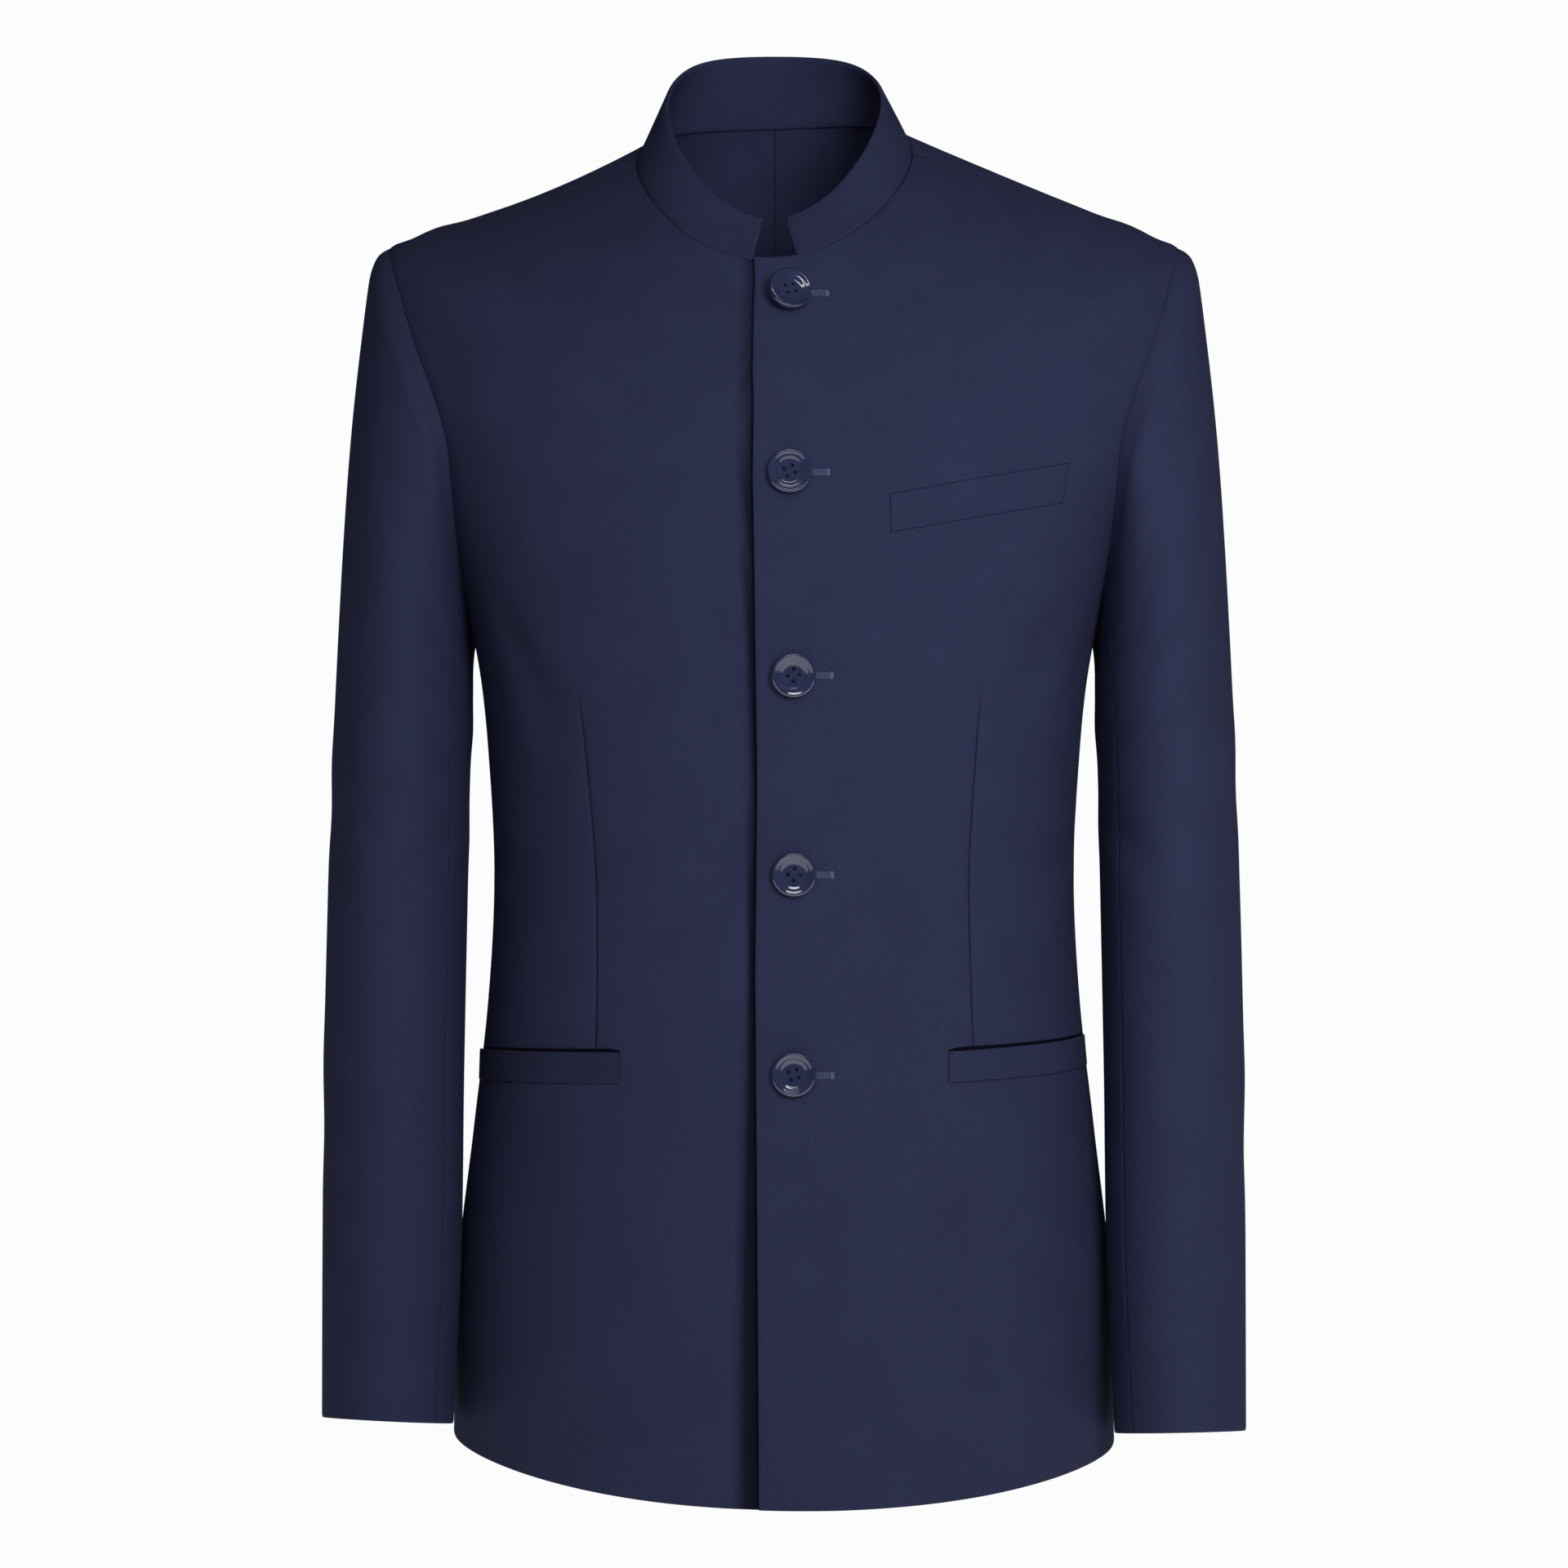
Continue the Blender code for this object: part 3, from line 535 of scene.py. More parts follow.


seam_top = float(armhole(FRONT_CLOCK)[1])
stations = upright_ways(seam_top, FRONT_CLOCK, 0)
seam_line = outer_edge(stations, FRONT_SEAM, seam_top, FRONT_CLOCK, 0, -1)
for side, word, dart in (
    (1, "left", ((101.7, -492), (106.4, -295))),
    (-1, "right", ((100.9, -491), (110.7, -298))),
):
    rise = LAP_RISE * side
    ring_sizes = read_curves(BODY, stations)
    lap_here = np.full(len(stations), RIGHT_LAP)
    if side > 0:
        lap_here = np.interp(ring_sizes[:, 4], CLOSURE[:, 0], LEFT_LAP)
    lap_here = lap_here + (NECK_LAP - lap_here) * smooth_step(stations, NECK_LAP_START, NECK)
    free_edge = -lap_here / (3 * ring_sizes[:, 7] * ring_sizes[:, 0])
    dart_turns, dart_ways = front_place(*np.array(dart).T)

    def front(turn, station, rise=rise):
        points = body(turn, station)
        return points + off_body(turn, station) * lap_lift(points, rise)[..., None]

    def dart_marks(arc, places, way):
        middle = np.interp(np.interp(way, dart_ways, dart_turns), places, arc)
        before = np.linspace(INNER, middle - INNER, 34)
        beyond = np.linspace(middle + INNER, arc[-1] - INNER, 20)
        return edged(arc[-1], before, middle + DART_MARKS, beyond)

    turn, way, mark = lay_out(front, free_edge, seam_line, stations, dart_marks)
    points = front(turn, way)
    normals = off_body(turn, way)
    press = body_relief(turn, way, side)
    # the dart starts sharply at the pocket and dies out over its last 3 cm below the chest
    off_dart = mark - mark[:, [DART_COLUMN]]
    dart_start = smooth_step(way, dart_ways[0] - 8, dart_ways[0] - 2)
    dart_fade = dart_start * (1 - smooth_step(way, dart_ways[1] - 30, dart_ways[1] + 4))
    tuck = DART_TUCK * np.clip(1 - np.abs(off_dart), 0, 1)
    press = press + dart_fade * (tuck + DART_HOLLOW * np.exp(-((off_dart / 5) ** 2)))
    # painted shade along the dart's line, standing in for the shade in its fold
    shade = dart_fade * DART_PAINTED_SHADE * np.clip(1.15 - np.abs(off_dart) / PAINTED_SHADE_WIDE, 0, 1)
    if side < 0:
        # the right front is pressed into a valley beside the left front's edge and darkened there with painted shadow
        # of the lap
        edge, wide, dark = (np.interp(points[..., 2], CLOSURE[:, 0], CLOSURE[:, k]) for k in (1, 2, 3))
        beside = 1 - smooth_step((points[..., 0] - edge) / wide, *VALLEY_SIDE)
        beside = beside * smooth_step(points[..., 0], *VALLEY_START)
        press = press + VALLEY_DEPTH * beside
        shade = np.maximum(shade, dark * beside)
    flat = np.stack([(mark + free_edge[:, None] * CUT_TURN) * side, way], axis=-1)
    panel = sew_panel(
        f"front_panel_{word}", points - normals * press[..., None], normals, flat, worsted, ("end", "high"),
        side, shade,
    )
    finish_cloth(panel, f"front_{word}", (0.245, 0.80), 0.168)


# Left and right side panels. Each fills the space under the arm from the hem to the armhole, so that the
# body is shaped at the waist by two seams on each side. It is the same worsted, its seams pressed open.
SIDE_LENGTH = 480  # millimetres, about
SIDE_OVERLAP = 0.0002  # of a turn, at each seam


def side_place(share, up):
    """(turn, station) on a side panel, share 0 at the front seam and 1 at the back one, up 1 at the armhole."""
    top_turn, top_station = armhole(FRONT_CLOCK + (BACK_CLOCK - FRONT_CLOCK) * share)
    even = FRONT_SEAM + (BACK_SEAM - FRONT_SEAM) * share
    gap = -SIDE_OVERLAP * (1 - 2 * share)
    return even + (top_turn - even) * up**2 + gap, top_station * up


def side_surface(share, up):
    """A point on a side panel."""
    return body(*side_place(share, up))


ups = edged(SIDE_LENGTH, np.linspace(INNER, SIDE_LENGTH - INNER, 104)) / SIDE_LENGTH
for side, word in ((1, "left"), (-1, "right")):
    share, up, mark = lay_out(side_surface, np.zeros(len(ups)), np.ones(len(ups)), ups, even_marks(26))
    points = side_surface(share, up)
    turn, way = side_place(share, up)
    normals = off_body(turn, way)
    press = body_relief(turn, way, side)
    flat = np.stack([(mark - mark[:, -1:] / 2) * side, way], axis=-1)
    points = points - normals * press[..., None]
    panel = sew_panel(f"side_panel_{word}", points, normals, flat, worsted, ("start", "end", "high"), side)
    finish_cloth(panel, f"side_{word}", (0.13, 0.52), 0.043)


# Left and right backs, joined by a seam down the middle of the back, with a light hollow at the waist.
# They are the same worsted, cut a little longer over the shoulder blades than the fronts.
seam_top = float(armhole(BACK_CLOCK)[1])
stations = upright_ways(seam_top, BACK_CLOCK, 360)
seam_line = outer_edge(stations, BACK_SEAM, seam_top, BACK_CLOCK, 360, 1)
BACK_MIDDLE = 2.0002  # a little past centre back, so that the two backs overlap in their seam
for side, word in ((1, "left"), (-1, "right")):
    middle = np.full(len(stations), BACK_MIDDLE)
    turn, way, mark = lay_out(body, seam_line, middle, stations, even_marks(44))
    normals = off_body(turn, way)
    press = body_relief(turn, way, side)
    points = body(turn, way) - normals * press[..., None]
    flat = np.stack([(mark - mark[:, -1:]) * side, way], axis=-1)
    panel = sew_panel(f"back_panel_{word}", points, normals, flat, worsted, ("start", "end", "high"), side)
    finish_cloth(panel, f"back_{word}", (0.24, 0.83), 0.134)


# Sleeves, each of two panels: a wide top sleeve and a narrower under sleeve, seamed in front and behind. They
# hang from the armhole a little forward, with the soft head and the few soft breaks of a good worsted sleeve.

# the left sleeve's rings in millimetres: (way down from the armhole, x and z on the outside, x and z on the inside,
# y in front and behind, and how much higher its front is than its middle)
SLEEVE = np.array([
    (0, 218.0, -54.5, 170.5, -262, -57, 69, 0),
    (8, 224.8, -58.5, 170.8, -267, -61, 71, 0),
    (16, 228.3, -65.5, 171.0, -271, -65, 73, 0),
    (25, 230.0, -73.0, 171.2, -275, -67, 75, 0),
    (62, 233.6, -108, 171.5, -284, -72, 77, 0),
    (145, 240.5, -190, 171.5, -310, -76, 73, 0),
    (255, 246.3, -300, 172.8, -352, -76, 62, 0),
    (355, 249.5, -400, 173.6, -418, -79, 46, 0),
    (455, 250.8, -500, 174.6, -508, -89, 25, 1),
    (555, 250.6, -600, 175.2, -603, -101, 7, 3),
    (653, 249.8, -697, 178.8, -699.5, -114, -10, 4.8),
])
SLEEVE_LENGTH = 653.0
ARMHOLE_OUT = np.array([SLEEVE[0, 2] - SLEEVE[0, 4], 0, SLEEVE[0, 3] - SLEEVE[0, 1]])
ARMHOLE_OUT /= np.linalg.norm(ARMHOLE_OUT)
HEAD_UNDER = 1.2  # millimetres that the sleeve's head reaches under the body's edge, so that no light comes through
HEAD_LENGTH = 110.0  # over which the head settles from the armhole into the sleeve's own rings
HEAD_CALM = 60  # over which its creases come in
SLEEVE_OVERLAP, OVERLAP_WIDE = 0.05, 2  # at each sleeve seam, and how far from it the panel is drawn over


def sleeve_ring(clock, way):
    """A point on the sleeve's own rings, clock 0 being on the outside and 90 in front."""
    out_x, out_z, in_x, in_z, front_y, back_y, rise = np.moveaxis(read_curves(SLEEVE, way), -1, 0)
    cos, sin = np.cos(np.radians(clock)), np.sin(np.radians(clock))
    x = (out_x + in_x) / 2 + (out_x - in_x) / 2 * cos
    y = (front_y + back_y) / 2 + (front_y - back_y) / 2 * sin
    z = (out_z + in_z) / 2 + (out_z - in_z) / 2 * cos + rise * sin
    return np.stack([x, y, z], axis=-1)


def sleeve(clock, way):
    """The sleeve's surface, whose head is drawn to the armhole and settles into its own rings below."""
    head = body(*armhole(clock % 360)) - ARMHOLE_OUT * HEAD_UNDER
    pull = head - sleeve_ring(clock, np.zeros_like(way))
    return sleeve_ring(clock, way) + pull * (1 - smooth_step(way, 0, HEAD_LENGTH))[..., None]


# (clock, way) of both ends, 1 mm to a degree of clock, then bow, width and depth
SLEEVE_CREASES = {
    1: (
        (150, 250, 62, 300, 8, 13, 2.0),
        (150, 292, 84, 352, -6, 12, 1.6),
        (-70, 262, 20, 318, 8, 15, 1.3),
        (-90, 322, -20, 368, -6, 15, 1.5),
        (140, 90, 92, 176, 6, 15, 1.6),
        (-96, 96, -58, 190, 7, 18, 1.6),
        (200, 120, 240, 210, 6, 16, 1.6),
        (196, 250, 250, 300, 8, 16, 1.6),
        (120, 420, 60, 500, 6, 18, 1.2),
        (-60, 450, 30, 520, 8, 20, 1.0),
    ),
    -1: (
        (152, 236, 70, 282, 7, 13, 1.8),
        (148, 300, 78, 340, -6, 13, 1.8),
        (-64, 280, 26, 330, 8, 15, 1.2),
        (-92, 310, -26, 372, -6, 15, 1.4),
        (142, 84, 96, 170, 6, 14, 1.5),
        (-98, 100, -54, 196, 7, 18, 1.6),
        (200, 124, 242, 214, 6, 16, 1.6),
        (198, 262, 250, 306, 8, 16, 1.6),
        (116, 430, 52, 486, 6, 18, 1.1),
        (-66, 440, 22, 508, 8, 20, 1.1),
    ),
}
back_seam_clock = BACK_CLOCK + (360 - BACK_CLOCK) / 7  # a seventh of the way from the body's back seam to the top
ways = edged(SLEEVE_LENGTH, np.linspace(INNER, 130, 46), np.linspace(134, SLEEVE_LENGTH - INNER, 124))
for side, word in ((1, "left"), (-1, "right")):
    for part, low, high, count, flat_size, area in (
        ("top", back_seam_clock - 360, FRONT_CLOCK, 60, (0.25, 0.67), 0.126),
        ("under", FRONT_CLOCK, back_seam_clock, 30, (0.15, 0.50), 0.053),
    ):
        starts, ends = np.full(len(ways), low), np.full(len(ways), high)
        clock, way, mark = lay_out(sleeve, starts, ends, ways, even_marks(count))
        around = sleeve(clock + 0.5, way) - sleeve(clock - 0.5, way)
        around /= np.linalg.norm(around, axis=-1, keepdims=True)
        to_start, to_end = mark / OVERLAP_WIDE, (mark[:, -1:] - mark) / OVERLAP_WIDE
        draw_in = -SLEEVE_OVERLAP * (np.clip(1 - to_start, 0, 1) - np.clip(1 - to_end, 0, 1))
        normals = outward(sleeve, clock, way, 0.5, 1.0, SLEEVE_LENGTH)
        spot = (clock + 100) % 360 - 100  # from -100 to 260, as in the creases' table
        press = troughs(SLEEVE_CREASES[side], spot, way) * smooth_step(way, 0, HEAD_CALM)
        points = sleeve(clock, way) + around * draw_in[..., None] - normals * press[..., None]
        flat = np.stack([(mark - mark[:, -1:] / 2) * side, -way], axis=-1)
        panel = sew_panel(
            f"sleeve_{part}_panel_{word}", points, normals, flat, worsted, ("start", "end", "low"), side
        )
        finish_cloth(panel, f"sleeve_{part}_{word}", flat_size, area)


# Collar. One stiffened band of the worsted stands round the neck from the left front's edge to the right's,
# turned along its rim so that the rim is rounded, and sewn to the neck edge by a fine pressed seam.
COLLAR_RIM = np.array([60.0, 2, -72, 60, -45, 25, 57, 0.45, 0.56, 0.52])  # a ring, as in the body's table
COLLAR_HEIGHT = 38
FOOT_UNDER = 0.8  # millimetres that its foot reaches under the body's edge, so that no light comes through
RIM_END = 6.0 / (3 * 0.45 * 60)  # the turns of its ends, 6 mm from the middle at the rim and 12 mm at the seam
SEAM_END = 12.0 / (3 * BODY[-1, 8] * BODY[-1, 1])


def collar_half(turn, up, rise):
    """One half of the collar, from its foot on the neck seam at up 0 to its rim at up 1."""
    turn = turn + (RIM_END - SEAM_END) * up * np.maximum(0, 1 - turn) / (1 - SEAM_END)
    at_neck = np.full(turn.shape, NECK)
    seam = body(turn, at_neck)
    lift = lap_lift(seam, rise) * (turn < 1)
    seam = seam + off_body(turn, at_neck) * lift[..., None]
    run = ring(np.broadcast_to(COLLAR_RIM, turn.shape + (10,)), turn) - seam
    one = run / np.linalg.norm(run, axis=-1, keepdims=True)
    return seam + run * up[..., None] - one * (FOOT_UNDER * (1 - up))[..., None]


def collar(turn, up):
    """The collar's surface: turn runs from its left end round centre back at 2 to its right end."""
    left = collar_half(np.minimum(turn, 2), up, LAP_RISE)
    right = collar_half(4 - np.maximum(turn, 2), up, -LAP_RISE) * (-1, 1, 1)
    return np.where((turn <= 2)[..., None], left, right)


ups = edged(COLLAR_HEIGHT, np.linspace(INNER, COLLAR_HEIGHT - INNER, 12)) / COLLAR_HEIGHT
starts, ends = np.full(len(ups), SEAM_END), np.full(len(ups), 4 - SEAM_END)
turn, up, mark = lay_out(collar, starts, ends, ups, even_marks(110))
normals = outward(collar, turn, up, 0.004, 0.01, 1.0)
flat = np.stack([mark - mark[:, -1:] / 2, up * COLLAR_HEIGHT], axis=-1)
panel = sew_panel(
    "collar_band", collar(turn, up), normals, flat, worsted, ("low",), wall=2.8, roll=0.9, under_roll=0.9, reach=2.4
)
finish_cloth(panel, "collar", (0.44, 0.05), 0.017)


# Chest pocket. A slanting welt of the worsted, sewn down along its foot and ends and pressed shut along its
# mouth, so nearly flush with the left front that only its fine dark outline shows: its rolled edge, darkened all
# round with painted shade.
CHEST_WELT = np.array([[(56.3, -217.9), (149.5, -200.5)], [(56.0, -196.9), (152.5, -178.8)]])  # foot and mouth
CHEST_LENGTH, CHEST_HEIGHT = 95, 21
CHEST_STAND = 0.75  # millimetres that its outside stands off the front
WELT_INNER = 3.4  # millimetres from a welt's edge, where its even marks start
WEAVE_LIFT = 12  # shifts its weave off the front's


def left_front(turn, station):
    """The left front's outside with its creases, and its outward direction."""
    normals = off_body(turn, station)
    points = body(turn, station)
    lift = lap_lift(points, LAP_RISE) - body_relief(turn, station, 1)
    return points + normals * lift[..., None], normals


def grid_shares(length, height, columns, rows):
    """Even shares of a small panel's length and height, with its edges' close rows added."""
    def shares(size, count):
        even = np.linspace(WELT_INNER, size - WELT_INNER, count)
        return np.concatenate([EDGE[:-1], even, size - EDGE[-2::-1]]) / size

    return np.meshgrid(shares(length, columns), shares(height, rows))


along, upward = grid_shares(CHEST_LENGTH, CHEST_HEIGHT, 24, 4)
foot = CHEST_WELT[0, 0] + (CHEST_WELT[0, 1] - CHEST_WELT[0, 0]) * along[..., None]
mouth = CHEST_WELT[1, 0] + (CHEST_WELT[1, 1] - CHEST_WELT[1, 0]) * along[..., None]
wanted = foot + (mouth - foot) * upward[..., None]
turn, station = front_place(wanted[..., 0], wanted[..., 1])
points, normals = left_front(turn, station)
flat = np.stack([along * CHEST_LENGTH, upward * CHEST_HEIGHT + WEAVE_LIFT], axis=-1)
panel = sew_panel(
    "chest_pocket_welt", points + normals * CHEST_STAND, normals, flat, worsted, ("low", "high", "start", "end"),
    wall=0.7, roll=0.5, reach=1.3,
)
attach(panel, "root")
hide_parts("chest_welt")


# Hip pockets. Each has a single welt from the front round to the side, sewn down along its foot and front end.
# Its mouth stands a little open, so that the pocketing shows above it as a band that tapers to the front, near-black
# with painted shade for the pocket's shaded inside.
WELT_LENGTH, WELT_HEIGHT = 112, 17.0
WELT_START = 87.5  # millimetres from the middle
WELT_END = 0.92  # of a turn, just past the front seam
WELT_FOOT = 0.8  # millimetres that its foot stands off the front
MOUTH_HEIGHT = 7.2  # the mouth's strip, whose marks are spread over this height
MOUTH_GAPE, MOUTH_TAPER = 2.1, 0.35  # how far it opens in front, and how much of that it loses by the side
MOUTH_UNDER = 1.2  # how far the strip reaches down behind the welt's top edge
MOUTH_STAND = 0.3

# the pocketing in the mouth, its near-black colour painted shade for the inside of the pocket
pocketing_in_painted_shade = weave_worsted("pocketing twill in painted shade", "06060C", "0A0A14")


def station_at(turn, height):
    """The station at which the body has a height, by halving."""
    low, high = np.zeros(turn.shape), np.full(turn.shape, NECK)
    for _ in range(30):
        middle = (low + high) / 2
        under = body(turn, middle)[..., 2] < height
        low, high = np.where(under, middle, low), np.where(under, high, middle)
    return low


def welt_surface(along, drop, top, side):
    """A point on the front at a share of a hip welt's length and a drop below its top edge."""
    start_turn = front_place(np.full(along.shape, WELT_START), top[0] - drop)[0]
    turn = start_turn + (WELT_END - start_turn) * along
    station = station_at(turn, top[0] + (top[1] - top[0]) * along - drop)
    normals = off_body(turn, station)
    return body(turn, station) - normals * body_relief(turn, station, side)[..., None], normals


# (side, word, the top edge's height in front and at the side, how much further it stands off than the foot, and the
# painted shade laid over the whole welt, darker on the right one, which faces further down)
for side, word, top, stand, welt_painted_shade in (
    (1, "left", (-493.5, -488.0), 0.6, 0.0),
    (-1, "right", (-494.0, -496.0), 1.6, 0.2),
):
    along, upward = grid_shares(WELT_LENGTH, WELT_HEIGHT, 34, 4)
    points, normals = welt_surface(along, WELT_HEIGHT * (1 - upward), top, side)
    points = points + normals * (WELT_FOOT + stand * upward[..., None])
    flat = np.stack([along * WELT_LENGTH * side, upward * WELT_HEIGHT + 5], axis=-1)
    panel = sew_panel(
        f"hip_pocket_welt_{word}", points, normals, flat, worsted, ("low", "start"), side, welt_painted_shade,
        wall=0.75, roll=0.5, reach=1.3,
    )
    along, upward = grid_shares(WELT_LENGTH, MOUTH_HEIGHT, 34, 2)
    gape = MOUTH_GAPE * smooth_step(along, -0.04, 0.05) * (1 - MOUTH_TAPER * along)
    points, normals = welt_surface(along, MOUTH_UNDER - (gape + MOUTH_UNDER) * upward, top, side)
    points = points + normals * MOUTH_STAND
    flat = np.stack([along * WELT_LENGTH, upward * (MOUTH_GAPE + MOUTH_UNDER)], axis=-1)
    mouth = sew_panel(
        f"hip_pocket_mouth_{word}", points, normals, flat, pocketing_in_painted_shade, (), side,
        wall=0.4, roll=0.1, reach=0.3,
    )
    bpy.ops.object.select_all(action="DESELECT")
    mouth.select_set(True)
    panel.select_set(True)
    bpy.context.view_layer.objects.active = panel
    bpy.ops.object.join()
    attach(panel, "root")
    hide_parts(f"hip_welt_{word}")


# Buttons. Five four-hole buttons of dark polyester, turned with a raised rim, a fine ridge and a dished middle
# and polished. Each is sewn on with near-black waxed thread, on a shank as long as the cloth under it is thick.
polyester = bpy.data.materials.new("polished dark polyester button")
polyester.use_nodes = True
tree = polyester.node_tree
shader = tree.nodes["Principled BSDF"]
shader.inputs["Roughness"].default_value = 0.16
shader.inputs["IOR"].default_value = 1.55
shader.inputs["Coat Weight"].default_value = 1.0
shader.inputs["Coat IOR"].default_value = 1.85
shader.inputs["Coat Roughness"].default_value = 0.08
spot = add_node(tree, "ShaderNodeTexCoord")
# the resin's cloudy streaks, 3 to 5 mm long, and the polishing's fine marks
streak = add_node(
    tree, "ShaderNodeTexNoise",
    inputs={"Vector": spot.outputs["Object"], "Scale": 260.0, "Detail": 3.0, "Distortion": 1.5},
)
tone = add_node(
    tree, "ShaderNodeMix", data_type="RGBA", inputs={0: streak.outputs["Fac"], 6: srgb("1E2138"), 7: srgb("33385A")}
)
tree.links.new(tone.outputs[2], shader.inputs["Base Color"])
marks = add_node(tree, "ShaderNodeTexNoise", inputs={"Vector": spot.outputs["Object"], "Scale": 1800.0})
polish = add_node(
    tree, "ShaderNodeBump", inputs={"Height": marks.outputs["Fac"], "Strength": 0.006, "Distance": 0.0001}
)
tree.links.new(polish.outputs[0], shader.inputs["Normal"])


def twist_thread(name, dark, light):
    """A two-ply thread, whose plies show as bands 0.8 mm apart."""
    thread = bpy.data.materials.new(name)
    thread.use_nodes = True
    tree = thread.node_tree
    shader = tree.nodes["Principled BSDF"]
    shader.inputs["Roughness"].default_value = 0.5
    shader.inputs["Sheen Weight"].default_value = 0.1
    spot = add_node(tree, "ShaderNodeTexCoord")
    ply = add_node(
        tree, "ShaderNodeTexWave", bands_direction="DIAGONAL",
        inputs={"Vector": spot.outputs["Object"], "Scale": 400.0},
    )
    tone = add_node(
        tree, "ShaderNodeMix", data_type="RGBA", inputs={0: ply.outputs["Fac"], 6: srgb(dark), 7: srgb(light)}
    )
    tree.links.new(tone.outputs[2], shader.inputs["Base Color"])
    twist = add_node(
        tree, "ShaderNodeBump", inputs={"Height": ply.outputs["Fac"], "Strength": 0.4, "Distance": 0.0001}
    )
    tree.links.new(twist.outputs[0], shader.inputs["Normal"])
    return thread


thread = twist_thread("near-black waxed button thread", "0C0E1C", "191C32")

# from the widest edge over the rim, down to the ridge and into the dish, in millimetres (inwards, upwards)
FACE_STEPS = (
    (0.15, 1.1), (0.35, 0.7), (0.5, 0.35), (0.5, 0.05), (0.45, -0.22), (0.9, -0.54), (0.45, -0.15), (0.5, 0.0),
    (0.55, -0.16), (0.9, -0.54), (0.6, -0.2), (1.2, -0.05),
)
BACK_STEPS = ((0.3, 0.9), (1.2, 0.6))
BUTTON_RADIUS, BUTTON_RIM, RIM_MIDDLE = 0.012, 0.0006, 0.0018  # metres; the widest edge's height, and where it is
HOLE_RADIUS, HOLE_OUT, DRILL_LENGTH = 0.00105, 0.003, 0.02


def turn_button(name):
    """One button, its back on Z = 0 and its face up: a disc inset ring by ring, then drilled four times."""
    bpy.ops.object.select_all(action="DESELECT")
    bpy.ops.mesh.primitive_cylinder_add(
        vertices=72, radius=BUTTON_RADIUS, depth=BUTTON_RIM, end_fill_type="NGON", location=(0, 0, RIM_MIDDLE)
    )
    button = bpy.context.object
    button.name = name
    bpy.ops.object.transform_apply(location=True)
    for upper, steps in ((True, FACE_STEPS), (False, BACK_STEPS)):
        bpy.ops.object.mode_set(mode="EDIT")
        bpy.ops.mesh.select_all(action="DESELECT")
        bpy.ops.object.mode_set(mode="OBJECT")
        for face in button.data.polygons:
            face.select = len(face.vertices) > 4 and (face.center.z > RIM_MIDDLE) == upper
        bpy.ops.object.mode_set(mode="EDIT")
        bpy.ops.mesh.select_mode(type="FACE")
        for inwards, upwards in steps:
            bpy.ops.mesh.inset(thickness=inwards * 0.001, depth=upwards * 0.001)
        bpy.ops.object.mode_set(mode="OBJECT")
    drills = []
    for corner in range(4):
        angle = math.radians(45 + 90 * corner)
        spot = (HOLE_OUT * math.cos(angle), HOLE_OUT * math.sin(angle), 0)
        bpy.ops.mesh.primitive_cylinder_add(vertices=20, radius=HOLE_RADIUS, depth=DRILL_LENGTH, location=spot)
        drills.append(bpy.context.object)
    for drill in drills:
        drill.select_set(True)
    bpy.context.view_layer.objects.active = drills[0]
    bpy.ops.object.join()
    bpy.ops.object.transform_apply(location=True)
    cut = button.modifiers.new("holes", "BOOLEAN")
    cut.operation = "DIFFERENCE"
    cut.solver = "EXACT"
    cut.object = drills[0]
    bpy.ops.object.select_all(action="DESELECT")
    button.select_set(True)
    bpy.context.view_layer.objects.active = button
    bpy.ops.object.modifier_apply(modifier="holes")
    bpy.data.objects.remove(drills[0])
    bpy.ops.object.shade_smooth_by_angle(angle=math.radians(38))
    button.data.materials.clear()
    button.data.materials.append(polyester)
    return button


# along a stitch: the share of its length, of its rise and of its thickness
STITCH_ROWS = ((0, -0.3, 0.6), (0.12, 0.55, 1), (0.5, 1, 1), (0.88, 0.55, 1), (1, -0.3, 0.6))


def add_stitch(stitches, start, end, rise, thick=0.17):
    """One stitch of thread as a thin arched bar with six sides, added to a list of points and one of faces."""
    points, faces = stitches
    start, end, rise = Vector(start), Vector(end), Vector(rise)
    along = (end - start).normalized()
    beside = along.cross(rise).normalized()
    above = beside.cross(along)
    first = len(points)
    for share, height, width in STITCH_ROWS:
        middle = start.lerp(end, share) + rise * height
        for k in range(6):
            angle = k * math.pi / 3
            points.append(middle + (beside * math.cos(angle) + above * math.sin(angle)) * thick * width)
    for row in range(4):
        for k in range(6):
            low, after = first + row * 6 + k, first + row * 6 + (k + 1) % 6
            faces.append((low, after, after + 6, low + 6))
    faces.append(tuple(first + k for k in range(5, -1, -1)))
    faces.append(tuple(first + 24 + k for k in range(6)))


def make_stitches(name, stitches, place, thread):
    """A mesh of the listed stitches, whose points in millimetres are put in their place."""
    points, faces = stitches
    mesh = bpy.data.meshes.new(name)
    mesh.from_pydata([place @ (Vector(point) * 0.001) for point in points], [], faces)
    mesh.materials.append(thread)
    mesh.shade_smooth()
    piece = bpy.data.objects.new(name, mesh)
    bpy.context.collection.objects.link(piece)
    return piece


# (across, height, tilt about the upright, millimetres clear of the cloth, and how far it is turned round)
BUTTONS = (
    (2.6, -89.5, 16, 2.7, 12),
    (3.0, -185.7, 0, 0.5, 24),
    (4.8, -293.1, 4, 0.9, 47),
    (5.2, -399.0, 0, 0.5, 40),
    (5.2, -505.3, -3, 0.8, 15),
)
THREAD_ROW, STRAND_APART = 2.12, 0.42  # the strands cross from hole to hole in two rows
THREAD_HALF, THREAD_HEIGHT = 2.3, 1.85  # their half length, and their ends' height in the dish


def lean_at(height):
    """How far across the dressed front leans at a height."""
    return -LEAN * float(smooth_step(height, *LEAN_HEIGHTS))


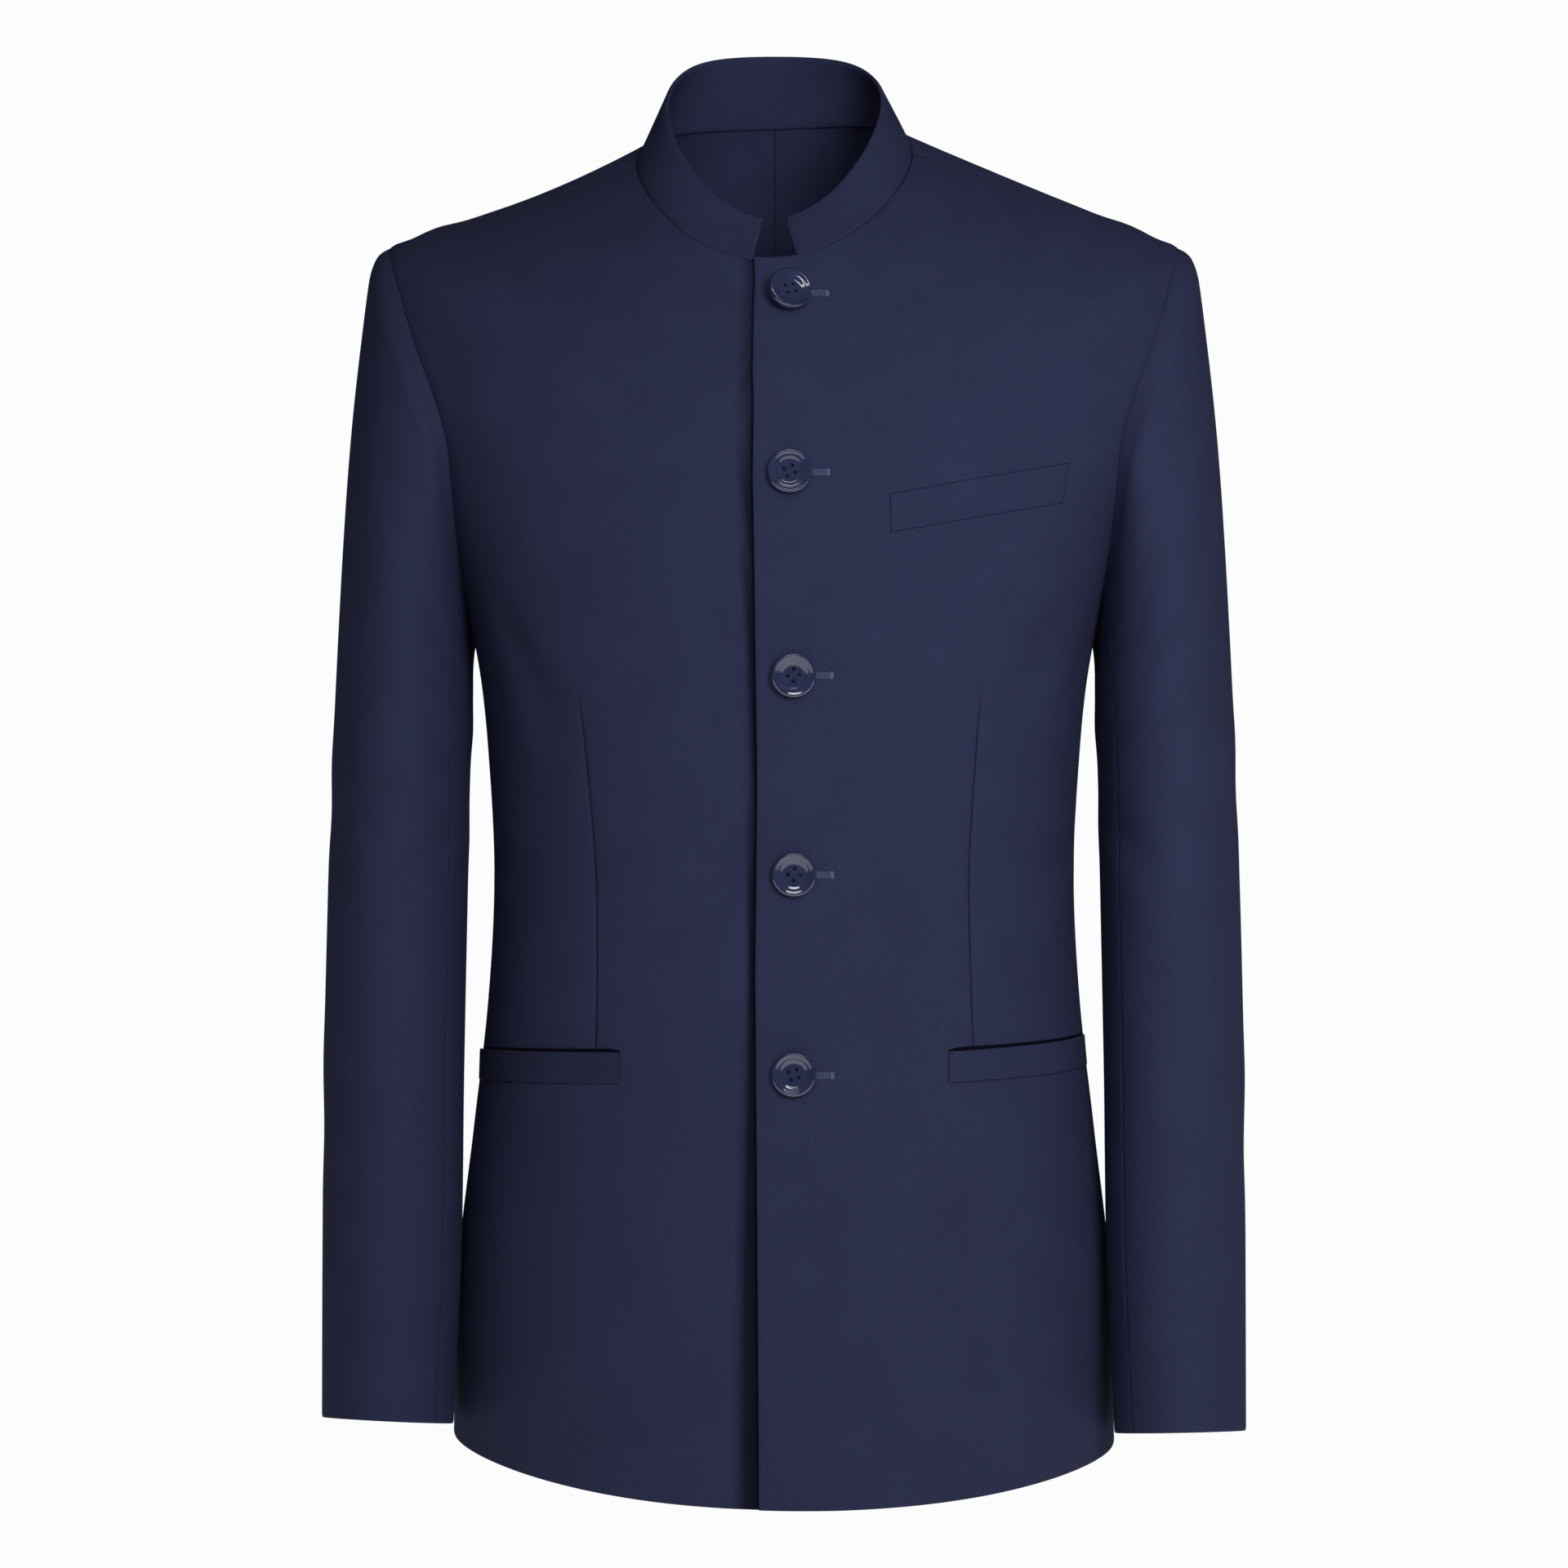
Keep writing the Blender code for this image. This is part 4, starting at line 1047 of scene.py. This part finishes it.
pattern = turn_button("button_pattern")
for number, (across, height, tilt, stand_off, spin) in enumerate(BUTTONS, 1):
    turn, station = front_place(across - lean_at(height), height)
    points, normals = left_front(turn, station)
    facing = Vector(normals)
    middle = Vector(dressed(points, 1)) + facing * stand_off
    facing.rotate(Matrix.Rotation(math.radians(tilt), 3, "Z"))
    seat = Matrix.Translation(middle * 0.001) @ facing.to_track_quat("Z", "Y").to_matrix().to_4x4()
    place = seat @ Matrix.Rotation(math.radians(spin), 4, "Z")
    button = bpy.data.objects.new(f"coat_button_{number}", pattern.data.copy())
    bpy.context.collection.objects.link(button)
    button.data.transform(place)
    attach(button, "root")
    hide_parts(f"button_{number}")

    stitches = ([], [])
    for row in (-THREAD_ROW, THREAD_ROW):
        for strand in (-STRAND_APART, 0, STRAND_APART):
            start, end = ((way, row + strand, THREAD_HEIGHT) for way in (-THREAD_HALF, THREAD_HALF))
            add_stitch(stitches, start, end, (0, 0, 0.45), 0.2)
    # the shank: eight thick strands in a ring, from inside the cloth up into the button
    for strand in range(8):
        angle = strand * math.pi / 4
        foot = (1.5 * math.cos(angle), 1.5 * math.sin(angle))
        beside = (0.3 * math.cos(angle), 0.3 * math.sin(angle), 0)
        add_stitch(stitches, (*foot, -stand_off - 0.6), (*foot, 0.8), beside, 0.35)
    sewing = make_stitches(f"button_thread_{number}", stitches, place, thread)
    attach(sewing, "root")
bpy.data.objects.remove(pattern)


# Buttonholes. Each is a cut 21 mm long, worked along both sides with close purl stitches of navy silk twist and
# closed at its outer end by a small bar. The button hides most of it, and only the outer end shows.
HOLE_LENGTH = 21.0
HOLE_SIDE, HOLE_DROP = 9, 0.3  # millimetres from its button's middle to its own
PURL = 0.62  # millimetres from one purl stitch to the next
buttonhole_twist = twist_thread("navy silk buttonhole twist", "3A3E5E", "6A7096")
for number, (across, height, *_) in enumerate(BUTTONS, 1):
    turn, station = front_place(across + HOLE_SIDE - lean_at(height), height - HOLE_DROP)
    points, normals = left_front(turn, station)
    middle, facing = Vector(dressed(points, 1)), Vector(normals)
    seat = Matrix.Translation(middle * 0.001) @ facing.to_track_quat("Z", "Y").to_matrix().to_4x4()
    stitches = ([], [])
    half = HOLE_LENGTH / 2
    for k in range(int(HOLE_LENGTH / PURL)):
        along = -half + PURL * (k + 0.5)
        uneven = 0.12 * math.sin(k * 2.3 + number)
        for way in (-1, 1):
            add_stitch(
                stitches, (along, way * 0.25, 0.1), (along + 0.05 * way, way * (1.75 + uneven), 0.05), (0, 0, 0.3)
            )
        for edge in (0.32, -0.32):
            add_stitch(stitches, (along - 0.3, edge, 0.2), (along + 0.3, edge, 0.2), (0, 0, 0.16), 0.13)
    # the bar across its outer end
    for k in range(5):
        add_stitch(stitches, (half + 0.42 * k, -2.0, 0.05), (half + 0.42 * k, 2.0, 0.05), (0, 0, 0.42), 0.2)
    worked = make_stitches(f"buttonhole_{number}", stitches, seat, buttonhole_twist)
    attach(worked, "root")
